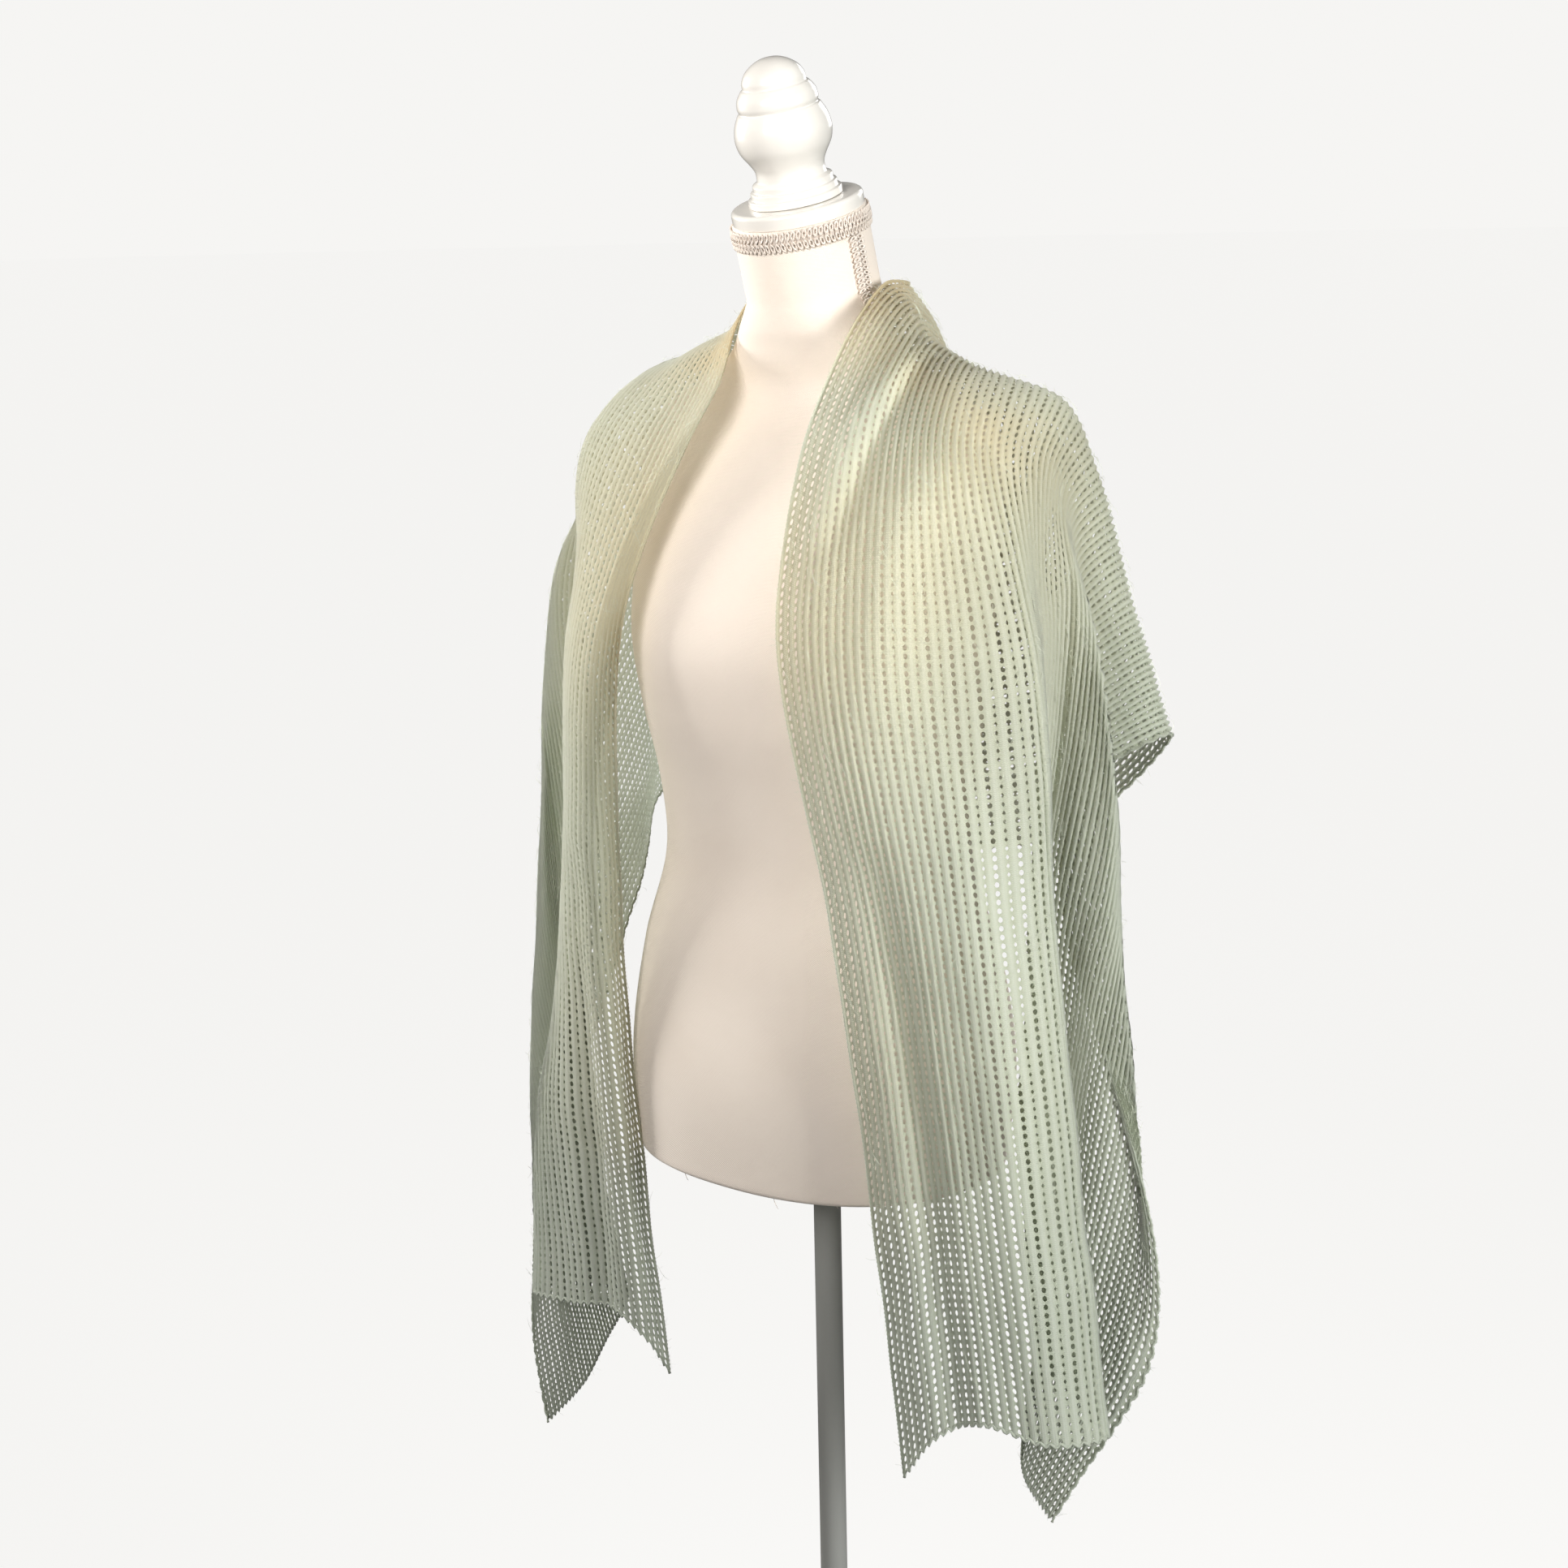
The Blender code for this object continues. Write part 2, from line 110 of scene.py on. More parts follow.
bm = bmesh.new()
bmesh.ops.create_circle(bm, cap_ends=True, segments=96, radius=FLOOR_RADIUS)
mesh = bpy.data.meshes.new("floor")
bm.to_mesh(mesh)
bm.free()
floor = bpy.data.objects.new("floor", mesh)
bpy.context.scene.collection.objects.link(floor)
pale_floor = finish("pale_floor", (0.10, 0.10, 0.10), 0.9)
seen = pale_floor.node_tree.nodes.new("ShaderNodeLightPath").outputs["Is Camera Ray"]
pale_floor.node_tree.nodes["Principled BSDF"].inputs["Emission Color"].default_value = (*PALE, 1.0)
glow = pale_floor.node_tree.nodes.new("ShaderNodeMath")
glow.operation = "MULTIPLY_ADD"
glow.inputs[1].default_value = FLOOR_SEEN - FLOOR_GLOW
glow.inputs[2].default_value = FLOOR_GLOW
pale_floor.node_tree.links.new(seen, glow.inputs[0])
pale_floor.node_tree.links.new(glow.outputs[0], pale_floor.node_tree.nodes["Principled BSDF"].inputs["Emission Strength"])
floor.data.materials.append(pale_floor)
sky = bpy.data.worlds.new("sky")
sky.use_nodes = True
background = sky.node_tree.nodes["Background"]
background.inputs["Color"].default_value = (*PALE, 1.0)
seen = sky.node_tree.nodes.new("ShaderNodeLightPath").outputs["Is Camera Ray"]
dome = sky.node_tree.nodes.new("ShaderNodeMath")
dome.operation = "MULTIPLY_ADD"
dome.inputs[1].default_value = 1.0 - SKY_STRENGTH
dome.inputs[2].default_value = SKY_STRENGTH
sky.node_tree.links.new(seen, dome.inputs[0])
sky.node_tree.links.new(dome.outputs[0], background.inputs["Strength"])
bpy.context.scene.world = sky
print("floor radius", FLOOR_RADIUS)


# %% Lights
def soft_light(name, place, aim, width, power, colour, spread=180.0):
    """A square area light that points from its place to its aim."""
    lamp = bpy.data.lights.new(name, "AREA")
    lamp.size = width
    lamp.spread = math.radians(spread)
    lamp.energy = power
    lamp.color = colour
    made = bpy.data.objects.new(name, lamp)
    made.location = place
    made.rotation_euler = (Vector(aim) - Vector(place)).to_track_quat("-Z", "Y").to_euler()
    bpy.context.scene.collection.objects.link(made)
    return made


soft_light("key", (0.4, -2.0, 2.1), (0.0, 0.0, 1.52), 1.1, 6.0, (1.0, 0.98, 0.96), 56.0)
soft_light("right", (2.5, 0.0, 1.6), (0.15, 0.0, 1.15), 1.0, 20.0, (0.98, 1.0, 0.99), 96.0)
soft_light("left", (-2.3, -0.6, 1.9), (0.0, 0.0, 1.25), 0.9, 11.5, (1.0, 1.0, 0.97), 70.0)
soft_light("back", (-0.4, 2.4, 2.3), (0.0, 0.0, 1.2), 1.2, 7.0, (1.0, 1.0, 1.0), 140.0)

# %% [markdown]
# ## The dress form
# The form is a padded shell under stretched jersey, with a neck, no arms and no
# head. It could be sculpted, but its shape is known as a stack of squared ovals,
# so one skin is laid through them. The jersey is a fine knit: its tiny rows are
# a bump, because they are far too small for geometry.

# %% A soft curve through a few known places
def smooth_through(knots, values, places):
    """Read a soft curve through a few values at evenly or unevenly spaced knots."""
    knots = np.asarray(knots, float)
    values = np.asarray(values, float)
    steps = np.diff(knots)
    slopes = np.diff(values, axis=0) / steps.reshape(-1, *([1] * (values.ndim - 1)))
    tangents = np.empty_like(values)
    tangents[0] = slopes[0]
    tangents[-1] = slopes[-1]
    for i in range(1, len(knots) - 1):
        before, after = steps[i - 1], steps[i]
        tangents[i] = (slopes[i - 1] * after + slopes[i] * before) / (before + after)
    places = np.clip(np.asarray(places, float), knots[0], knots[-1])
    spans = np.clip(np.searchsorted(knots, places, side="right") - 1, 0, len(steps) - 1)
    shape = (-1, *([1] * (values.ndim - 1)))
    width = steps[spans].reshape(shape)
    u = ((places - knots[spans]) / steps[spans]).reshape(shape)
    start, end = values[spans], values[spans + 1]
    leave, arrive = tangents[spans] * width, tangents[spans + 1] * width
    return ((2 * u**3 - 3 * u**2 + 1) * start + (u**3 - 2 * u**2 + u) * leave
            + (3 * u**2 - 2 * u**3) * end + (u**3 - u**2) * arrive)


print("halfway between 1 and 3:", smooth_through([0, 1], [1.0, 3.0], [0.5]).tolist())


# %% Turn a bmesh or a mesh into a finished piece
def add_piece(name, mesh, material, nodes=()):
    """Show a mesh as a piece that rides on the part and replaces CAD nodes."""
    mesh.shade_smooth()
    mesh.materials.append(material)
    made = bpy.data.objects.new(name, mesh)
    bpy.context.scene.collection.objects.link(made)
    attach(made, "root")
    if nodes:
        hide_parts(*nodes)
    print(name, "has", sum(len(face.vertices) - 2 for face in mesh.polygons), "triangles")
    return made


def to_mesh(name, bm):
    """Close a bmesh into a named mesh."""
    mesh = bpy.data.meshes.new(name)
    bm.to_mesh(mesh)
    bm.free()
    return mesh


def skin(name, rings, ends=True):
    """A tube through rings of places, with its seam merged and its ends filled."""
    levels, segments = rings.shape[:2]
    bm = bmesh.new()
    bmesh.ops.create_grid(bm, x_segments=levels - 1, y_segments=segments, size=0.5)
    for vert in bm.verts:
        i = round((vert.co.x + 0.5) * (levels - 1))
        j = round((vert.co.y + 0.5) * segments) % segments
        vert.co = rings[i, j]
    bmesh.ops.remove_doubles(bm, verts=bm.verts[:], dist=1e-5)
    if ends:
        bmesh.ops.holes_fill(bm, edges=bm.edges[:], sides=segments)
    bmesh.ops.recalc_face_normals(bm, faces=bm.faces[:])
    return to_mesh(name, bm)


# %% Sizes of the form and its stand, as in the solid part
FORM_HEM_Z = 0.800
CLEARANCE = 0.0003
NECK_TILT = math.radians(14.6)
NECK_BASE = (0.0, 0.009, 1.470)
NECK_LENGTH = 0.079
NECK_RADIUS = 0.0520
CAP_RADIUS = 0.0510
CAP_THICK = 0.0115
FINIAL_HEIGHT = 0.108
BRAID_HEIGHT = 0.0125
BRAID_THICK = 0.0030
POLE_RADIUS = 0.0112
BASE_RADIUS = 0.155
BASE_THICK = 0.018
# height, half width, front depth, back depth
TORSO_RINGS = (
    (0.800, 0.160, 0.128, 0.103),
    (0.880, 0.168, 0.126, 0.114),
    (0.970, 0.158, 0.110, 0.102),
    (1.050, 0.135, 0.096, 0.084),
    (1.110, 0.138, 0.102, 0.086),
    (1.170, 0.146, 0.118, 0.094),
    (1.225, 0.151, 0.126, 0.102),
    (1.285, 0.155, 0.110, 0.106),
    (1.335, 0.163, 0.084, 0.104),
    (1.372, 0.168, 0.056, 0.096),
    (1.396, 0.154, 0.036, 0.086),
    (1.418, 0.112, 0.028, 0.074),
    (1.440, 0.076, 0.036, 0.066),
    (1.462, 0.058, 0.045, 0.061),
)
TORSO_SQUARENESS = 2.3
# share of the finial's height, radius
FINIAL_PROFILE = (
    (0.000, 0.0362), (0.050, 0.0362), (0.056, 0.0335), (0.097, 0.0335),
    (0.103, 0.0310), (0.145, 0.0310), (0.165, 0.0268), (0.235, 0.0262),
    (0.300, 0.0300), (0.380, 0.0358), (0.475, 0.0378), (0.570, 0.0358),
    (0.642, 0.0318), (0.650, 0.0300), (0.682, 0.0314), (0.745, 0.0305),
    (0.800, 0.0262), (0.808, 0.0244), (0.850, 0.0246), (0.912, 0.0214),
    (0.960, 0.0150), (0.990, 0.0080), (1.000, 0.0),
)
print("form from", FORM_HEM_Z, "m up")


# %% Rings of the body and the neck
def torso_radius(angle, half_width, depth):
    """The point at an angle on one half of a squared oval ring."""
    c, s = math.cos(angle), math.sin(angle)
    power = 2.0 / TORSO_SQUARENESS
    return (half_width * math.copysign(abs(c) ** power, c),
            depth * math.copysign(abs(s) ** power, s))


def torso_ring(level, segments, shrink=0.0):
    """One ring of the body at a height, drawn in by a small amount."""
    heights = [row[0] for row in TORSO_RINGS]
    half_width, front, back = smooth_through(heights, [row[1:] for row in TORSO_RINGS], [level])[0]
    ring = []
    for k in range(segments):
        angle = 2.0 * math.pi * (k + 0.5) / segments
        depth = back if math.sin(angle) > 0 else front
        x, y = torso_radius(angle, half_width - shrink, depth - shrink)
        ring.append((x, y, level))
    return ring


def neck_point(angle, radius, lift):
    """A point round the tilted axis of the neck, lift above its base."""
    x = radius * math.cos(angle)
    y = radius * math.sin(angle)
    return (x,
            NECK_BASE[1] + y * math.cos(NECK_TILT) - lift * math.sin(NECK_TILT),
            NECK_BASE[2] + y * math.sin(NECK_TILT) + lift * math.cos(NECK_TILT))


def neck_ring(radius, lift, segments):
    """One ring of the neck, square to its own tilted axis."""
    return [neck_point(2.0 * math.pi * (k + 0.5) / segments, radius, lift)
            for k in range(segments)]


print("ring at the waist:", [round(v, 3) for v in torso_ring(1.05, 4)[0]])

# %% [markdown]
# ### Jersey
# A pale cream jersey with a hardly visible rib. Two fine waves at right angles
# stand for its rows and columns, and a soft noise shades it a little, as the
# padding below does. The hem gets a few loose thread ends, because the form in
# the picture shows them against the light.

# %% Effects that several finishes share
def group_node(material, group, values):
    """Place a node group in a material with its own values."""
    node = material.node_tree.nodes.new("ShaderNodeGroup")
    node.node_tree = group
    for name, value in values.items():
        node.inputs[name].default_value = value
    return node


def new_group(name, inputs, outputs):
    """A node group with named float or colour or vector sockets."""
    group = bpy.data.node_groups.new(name, "ShaderNodeTree")
    for label, kind in inputs:
        group.interface.new_socket(name=label, in_out="INPUT", socket_type=kind)
    for label, kind in outputs:
        group.interface.new_socket(name=label, in_out="OUTPUT", socket_type=kind)
    return group, group.nodes.new("NodeGroupInput"), group.nodes.new("NodeGroupOutput")


def math_node(tree, operation, first, second=None):
    """A Math node; a number is set on the socket and anything else is linked."""
    node = tree.nodes.new("ShaderNodeMath")
    node.operation = operation
    for socket, value in zip(node.inputs, (first, second)):
        if value is None:
            continue
        if isinstance(value, (int, float)):
            socket.default_value = value
        else:
            tree.links.new(value, socket)
    return node.outputs[0]


def mix_colour(tree, share, first, second):
    """A Mix node for colours; a tuple is set on the socket."""
    node = tree.nodes.new("ShaderNodeMix")
    node.data_type = "RGBA"
    for socket, value in ((node.inputs[0], share), (node.inputs[6], first), (node.inputs[7], second)):
        if isinstance(value, (int, float)):
            socket.default_value = value
        elif isinstance(value, tuple):
            socket.default_value = (*value, 1.0)
        else:
            tree.links.new(value, socket)
    return node.outputs[2]


def noise_value(tree, vector, scale, detail=2.0):
    """A soft noise read at a vector."""
    node = tree.nodes.new("ShaderNodeTexNoise")
    node.inputs["Scale"].default_value = scale
    node.inputs["Detail"].default_value = detail
    if vector is not None:
        tree.links.new(vector, node.inputs["Vector"])
    return node.outputs["Fac"]


def bump_into(material, height, strength, distance):
    """Feed a height to the shader's normal through a Bump node."""
    tree = material.node_tree
    bump = tree.nodes.new("ShaderNodeBump")
    bump.inputs["Strength"].default_value = strength
    bump.inputs["Distance"].default_value = distance
    tree.links.new(height, bump.inputs["Height"])
    tree.links.new(bump.outputs["Normal"], tree.nodes["Principled BSDF"].inputs["Normal"])


print("shader helpers ready")

# %% The weave group: fine rows and columns with a slow unevenness
weave, weave_in, weave_out = new_group(
    "fine_weave",
    (("Rows", "NodeSocketFloat"), ("Columns", "NodeSocketFloat"), ("Mottle", "NodeSocketFloat")),
    (("Height", "NodeSocketFloat"), ("Shade", "NodeSocketFloat")))
place = weave.nodes.new("ShaderNodeTexCoord").outputs["Object"]
axes = weave.nodes.new("ShaderNodeSeparateXYZ")
weave.links.new(place, axes.inputs[0])
row_wave = math_node(weave, "SINE", math_node(weave, "MULTIPLY", axes.outputs["Z"], weave_in.outputs["Rows"]))
sideways = math_node(weave, "ADD", axes.outputs["X"], axes.outputs["Y"])
column_wave = math_node(weave, "SINE", math_node(weave, "MULTIPLY", sideways, weave_in.outputs["Columns"]))
rough = noise_value(weave, place, 900.0)
weave.links.new(math_node(weave, "ADD", math_node(weave, "MULTIPLY", row_wave, column_wave), rough),
                weave_out.inputs["Height"])
mottle_noise = weave.nodes.new("ShaderNodeTexNoise")
weave.links.new(place, mottle_noise.inputs["Vector"])
weave.links.new(weave_in.outputs["Mottle"], mottle_noise.inputs["Scale"])
weave.links.new(mottle_noise.outputs["Fac"], weave_out.inputs["Shade"])
print("group:", weave.name)

# %% Jersey, and the body that wears it
JERSEY = (0.86, 0.765, 0.675)
JERSEY_DEEP = (0.80, 0.695, 0.600)
jersey = finish("cream_jersey", JERSEY, 0.85, sheen=0.25)
knit = group_node(jersey, weave, {"Rows": 4200.0, "Columns": 3600.0, "Mottle": 14.0})
jersey.node_tree.links.new(mix_colour(jersey.node_tree, knit.outputs["Shade"], JERSEY_DEEP, JERSEY),
                           jersey.node_tree.nodes["Principled BSDF"].inputs["Base Color"])
bump_into(jersey, knit.outputs["Height"], 0.35, 0.0004)

BODY_SEGMENTS = 128
BODY_LEVELS = 110
HEM_ROUND = 0.004
rings = [torso_ring(FORM_HEM_Z, BODY_SEGMENTS, 0.012)]
for step in range(5):
    turn = math.radians(90.0 * step / 4)
    rings.append([(x, y, FORM_HEM_Z + HEM_ROUND * (1.0 - math.cos(turn)))
                  for x, y, _ in torso_ring(FORM_HEM_Z, BODY_SEGMENTS, HEM_ROUND * (1.0 - math.sin(turn)))])
for level in np.linspace(FORM_HEM_Z + 2 * HEM_ROUND, TORSO_RINGS[-1][0], BODY_LEVELS):
    rings.append(torso_ring(level, BODY_SEGMENTS))
for lift in np.linspace(0.020, NECK_LENGTH, 12):
    rings.append(neck_ring(NECK_RADIUS, lift, BODY_SEGMENTS))
body = add_piece("form_skin", skin("form_skin", np.array(rings)), jersey, ("form_body",))

# %% [markdown]
# ### The cap and the finial
# Both are turned wood under white gloss paint. A profile that spins once round
# is exactly how a lathe works. The profile's corners are softened first, since
# paint never leaves them sharp.

# %% Turned pieces
SHALLOW_TURN = math.radians(38)
EDGE_ROUND = 0.0009


def softened(profile, reach=EDGE_ROUND):
    """Replace each corner of a profile of (height, radius) by a short curve."""
    line = [Vector(place) for place in profile]
    soft = [line[0]]
    for before, corner, after in zip(line, line[1:], line[2:]):
        back, ahead = before - corner, after - corner
        shallow = math.pi - back.angle(ahead) < SHALLOW_TURN
        room = 0.45 * min(back.length, ahead.length)
        cut = room if shallow else min(room, reach)
        start, end = corner + back.normalized() * cut, corner + ahead.normalized() * cut
        for share in (0.0, 0.25, 0.5, 0.75, 1.0):
            soft.append(start.lerp(corner, share).lerp(corner.lerp(end, share), share))
    return soft + [line[-1]]


def turned(name, profile, lift=None, steps=96):
    """Spin a profile of (height, radius) round the upright or the neck's axis."""
    bm = bmesh.new()
    line = [bm.verts.new((radius, 0.0, height)) for height, radius in profile]
    for upper, lower in zip(line, line[1:]):
        bm.edges.new((upper, lower))
    bmesh.ops.spin(bm, geom=bm.verts[:] + bm.edges[:], cent=(0, 0, 0), axis=(0, 0, 1),
                   angle=2.0 * math.pi, steps=steps, use_merge=True)
    bmesh.ops.remove_doubles(bm, verts=bm.verts[:], dist=1e-6)
    bmesh.ops.recalc_face_normals(bm, faces=bm.faces[:])
    if lift is not None:
        place = Matrix.Translation(neck_point(0.0, 0.0, lift)) @ Matrix.Rotation(NECK_TILT, 4, "X")
        bmesh.ops.transform(bm, matrix=place, verts=bm.verts[:])
    return to_mesh(name, bm)


GLOSS = (0.77, 0.74, 0.69)
gloss = finish("white_gloss_wood", GLOSS, 0.22, coat=0.6)
paint = group_node(gloss, weave, {"Rows": 120.0, "Columns": 90.0, "Mottle": 30.0})
gloss.node_tree.links.new(mix_colour(gloss.node_tree, paint.outputs["Shade"], (0.74, 0.70, 0.645), (0.81, 0.78, 0.73)),
                          gloss.node_tree.nodes["Principled BSDF"].inputs["Base Color"])
bump_into(gloss, noise_value(gloss.node_tree, gloss.node_tree.nodes.new("ShaderNodeTexCoord").outputs["Object"], 160.0),
          0.06, 0.0006)

cap_lift = NECK_LENGTH + CLEARANCE
cap_profile = ((0.0, 0.0), (0.0, CAP_RADIUS - 0.001), (0.001, CAP_RADIUS), (CAP_THICK - 0.002, CAP_RADIUS),
               (CAP_THICK, CAP_RADIUS - 0.002), (CAP_THICK, 0.0))
cap = add_piece("neck_disc", turned("neck_disc", softened(cap_profile, 0.0015), cap_lift), gloss,
                ("neck_cap",))
finial_profile = [(0.0, 0.0)] + [(share * FINIAL_HEIGHT, radius) for share, radius in FINIAL_PROFILE]
knob = add_piece("turned_finial",
                 turned("turned_finial", softened(finial_profile), cap_lift + CAP_THICK + CLEARANCE),
                 gloss, ("finial",))

# %% [markdown]
# ### The looped braid
# A gimp braid hides the jersey's raw edge under the cap, with a short drop down
# the side of the neck. A real one is a cord that turns back in a loop at each
# edge, over slanted strands in the middle. So one small ring, drawn out to an
# oval, is set along both edges, and short round strands lie between them.

# %% Strands of the braid
CORD_RADIUS = 0.00068
LOOP_HALF_LENGTH = 0.0029
LOOP_HALF_WIDTH = 0.00135
LOOP_OFFSET = 0.0040
LOOP_LEAN = math.radians(16)
STRAND_LENGTH = 0.0040
STRAND_OFFSET = 0.0014
STRAND_SLANT = math.radians(52)
TAPE_HALF_WIDTH = 0.0040
TAPE_THICK = 0.0005


def braid_stitch(bm, at):
    """One loop on each edge and one slanted strand beside it, at a placing matrix."""
    for edge in (1, -1):
        cord = bmesh.ops.create_circle(
            bm, segments=5, radius=CORD_RADIUS,
            matrix=Matrix.Translation((LOOP_HALF_WIDTH, 0, 0)) @ Matrix.Rotation(math.pi / 2, 4, "X"))["verts"]
        rim = list({wire for vert in cord for wire in vert.link_edges})
        before = set(bm.verts) - set(cord)
        bmesh.ops.spin(bm, geom=cord + rim, cent=(0, 0, 0), axis=(0, 0, 1), angle=2.0 * math.pi,
                       steps=10, use_merge=True)
        loop = [vert for vert in bm.verts if vert not in before]
        stretch = Matrix.Diagonal((1.0, LOOP_HALF_LENGTH / LOOP_HALF_WIDTH, 1.0, 1.0))
        turn = Matrix.Rotation(-edge * LOOP_LEAN, 4, "Z")
        shift = Matrix.Translation((0, edge * LOOP_OFFSET, CORD_RADIUS + TAPE_THICK))
        bmesh.ops.transform(bm, matrix=at @ shift @ turn @ stretch, verts=loop)
        slant = Matrix.Rotation(edge * STRAND_SLANT, 4, "Z") @ Matrix.Rotation(math.pi / 2, 4, "Y")
        lift = Matrix.Translation((0, edge * STRAND_OFFSET, 1.8 * CORD_RADIUS + TAPE_THICK))
        bmesh.ops.create_cone(bm, cap_ends=True, segments=6, radius1=CORD_RADIUS, radius2=CORD_RADIUS,
                              depth=STRAND_LENGTH, matrix=at @ lift @ slant)


def braid_tape(bm, places):
    """The flat tape that carries the cord, through a row of placing matrices."""
    outline = ((-TAPE_HALF_WIDTH, 0), (TAPE_HALF_WIDTH, 0), (TAPE_HALF_WIDTH, TAPE_THICK), (-TAPE_HALF_WIDTH, TAPE_THICK))
    rings = [[bm.verts.new(at @ Vector((0, over, out))) for over, out in outline] for at in places]
    for ring in rings:
        for first, second in zip(ring, ring[1:] + ring[:1]):
            bm.edges.new((first, second))
    for ring, following in zip(rings, rings[1:]):
        wires = [wire for vert in ring + following for wire in vert.link_edges
                 if wire.other_vert(vert) in (ring if vert in ring else following)]
        bmesh.ops.bridge_loops(bm, edges=list(dict.fromkeys(wires)))


print("cord", round(2000 * CORD_RADIUS, 1), "mm thick")

# %% Braid round the neck and down its side
BRAID_LOOPS = 78
DROP_LOOPS = 15
DROP_SPREAD = 0.0052
DROP_TOP = NECK_LENGTH - 0.0160
DROP_FOOT = 0.003


def on_neck(angle, lift, radius=NECK_RADIUS + CLEARANCE, upright=False):
    """A placing matrix on the neck: its X runs round it, or down it when upright."""
    origin = Vector(neck_point(angle, radius, lift))
    outward = (Vector(neck_point(angle, 1.0, 0.0)) - Vector(neck_point(angle, 0.0, 0.0))).normalized()
    up_neck = (Vector(neck_point(angle, 0.0, 1.0)) - Vector(neck_point(angle, 0.0, 0.0))).normalized()
    round_neck = up_neck.cross(outward)
    x_way, y_way = (-up_neck, round_neck) if upright else (round_neck, up_neck)
    return Matrix((
        (x_way.x, y_way.x, outward.x, origin.x),
        (x_way.y, y_way.y, outward.y, origin.y),
        (x_way.z, y_way.z, outward.z, origin.z),
        (0.0, 0.0, 0.0, 1.0)))


BRAID = (0.84, 0.750, 0.670)
BRAID_DEEP = (0.70, 0.600, 0.520)
gimp = finish("cream_braid", BRAID, 0.7, sheen=0.2)
twist = group_node(gimp, weave, {"Rows": 5200.0, "Columns": 5200.0, "Mottle": 60.0})
gimp.node_tree.links.new(mix_colour(gimp.node_tree, twist.outputs["Shade"], BRAID_DEEP, BRAID),
                         gimp.node_tree.nodes["Principled BSDF"].inputs["Base Color"])
bump_into(gimp, twist.outputs["Height"], 0.4, 0.0003)

ring_lift = NECK_LENGTH - 0.0078
bm = bmesh.new()
for n in range(BRAID_LOOPS):
    braid_stitch(bm, on_neck(2.0 * math.pi * n / BRAID_LOOPS, ring_lift))
braid_tape(bm, [on_neck(2.0 * math.pi * n / 72, ring_lift) for n in range(73)])
bmesh.ops.remove_doubles(bm, verts=bm.verts[:], dist=1e-6)
bmesh.ops.recalc_face_normals(bm, faces=bm.faces[:])
ring_braid = add_piece("looped_braid", to_mesh("looped_braid", bm), gimp, ("neck_braid",))

bm = bmesh.new()
drop_places = []
for n in range(DROP_LOOPS):
    lift = DROP_TOP + (DROP_FOOT - DROP_TOP) * (n + 0.5) / DROP_LOOPS
    flare = DROP_SPREAD * max(0.0, 1.0 - lift / 0.020)
    drop_places.append(on_neck(0.0, lift, NECK_RADIUS + CLEARANCE + flare, upright=True))
    braid_stitch(bm, drop_places[-1])
braid_tape(bm, drop_places)
bmesh.ops.recalc_face_normals(bm, faces=bm.faces[:])
drop_braid = add_piece("looped_braid_drop", to_mesh("looped_braid_drop", bm), gimp,
                       ("neck_braid_drop",))

# %% [markdown]
# ### Pole and base
# The pole is a round enamelled tube. Its base is below the picture's edge, so it
# is the plain round foot that such a form stands on.

# %% Enamel, pole and base
# The grey-white enamel gets a mid grey base colour: part of its darkness is real grey tone, part is painted shade.
enamel_in_painted_shade = finish("white_enamel", (0.36, 0.36, 0.34), 0.38, coat=0.2)
orange_peel = noise_value(enamel_in_painted_shade.node_tree, enamel_in_painted_shade.node_tree.nodes.new("ShaderNodeTexCoord").outputs["Object"], 240.0)
bump_into(enamel_in_painted_shade, orange_peel, 0.08, 0.0005)
pole_profile = ((BASE_THICK + CLEARANCE, 0.0), (BASE_THICK + CLEARANCE, POLE_RADIUS),
                (FORM_HEM_Z - CLEARANCE, POLE_RADIUS), (FORM_HEM_Z - CLEARANCE, 0.0))
pole = add_piece("round_pole", turned("round_pole", softened(pole_profile, 0.0004), steps=64), enamel_in_painted_shade,
                 ("pole",))
base_profile = ((0.0, 0.0), (0.0, BASE_RADIUS - 0.002), (0.002, BASE_RADIUS), (BASE_THICK - 0.006, BASE_RADIUS),
                (BASE_THICK, BASE_RADIUS - 0.006), (BASE_THICK, 0.0))
foot = add_piece("round_base", turned("round_base", softened(base_profile, 0.003), steps=128), enamel_in_painted_shade,
                 ("base",))

# %% [markdown]
# ## How the cloth lies
# On the real shawl every rib runs from one short end, over a shoulder, across
# the back and down to the other end. So a point on it has two cloth measures:
# along, from the centre of the back, and across, from the edge at the neck. The
# tables below are those of the solid part. Each row follows one rib past the
# main folds, and a soft curve is read through them. A simulation would give
# folds of its own, and these folds are known, so they are listed.

# %% Sizes of the stole, as in the solid part
STOLE_WIDTH = 0.520
STOLE_HALF_LENGTH = 1.000
RIB_COUNT = 40
PROBE = 0.002
BACK_REACH = 0.170
NAPE_HEIGHT = 1.488
NAPE_DEPTH = 0.072
BACK_FULLNESS = 0.055
BACK_FULLNESS_OVER = 0.09
BACK_FALL = 0.90
BLADE_OUT = 0.60
BLADE_TOWARDS_SHOULDER = 0.25
BLADE_FULLNESS = 0.012
BLADE_RISE = 0.30

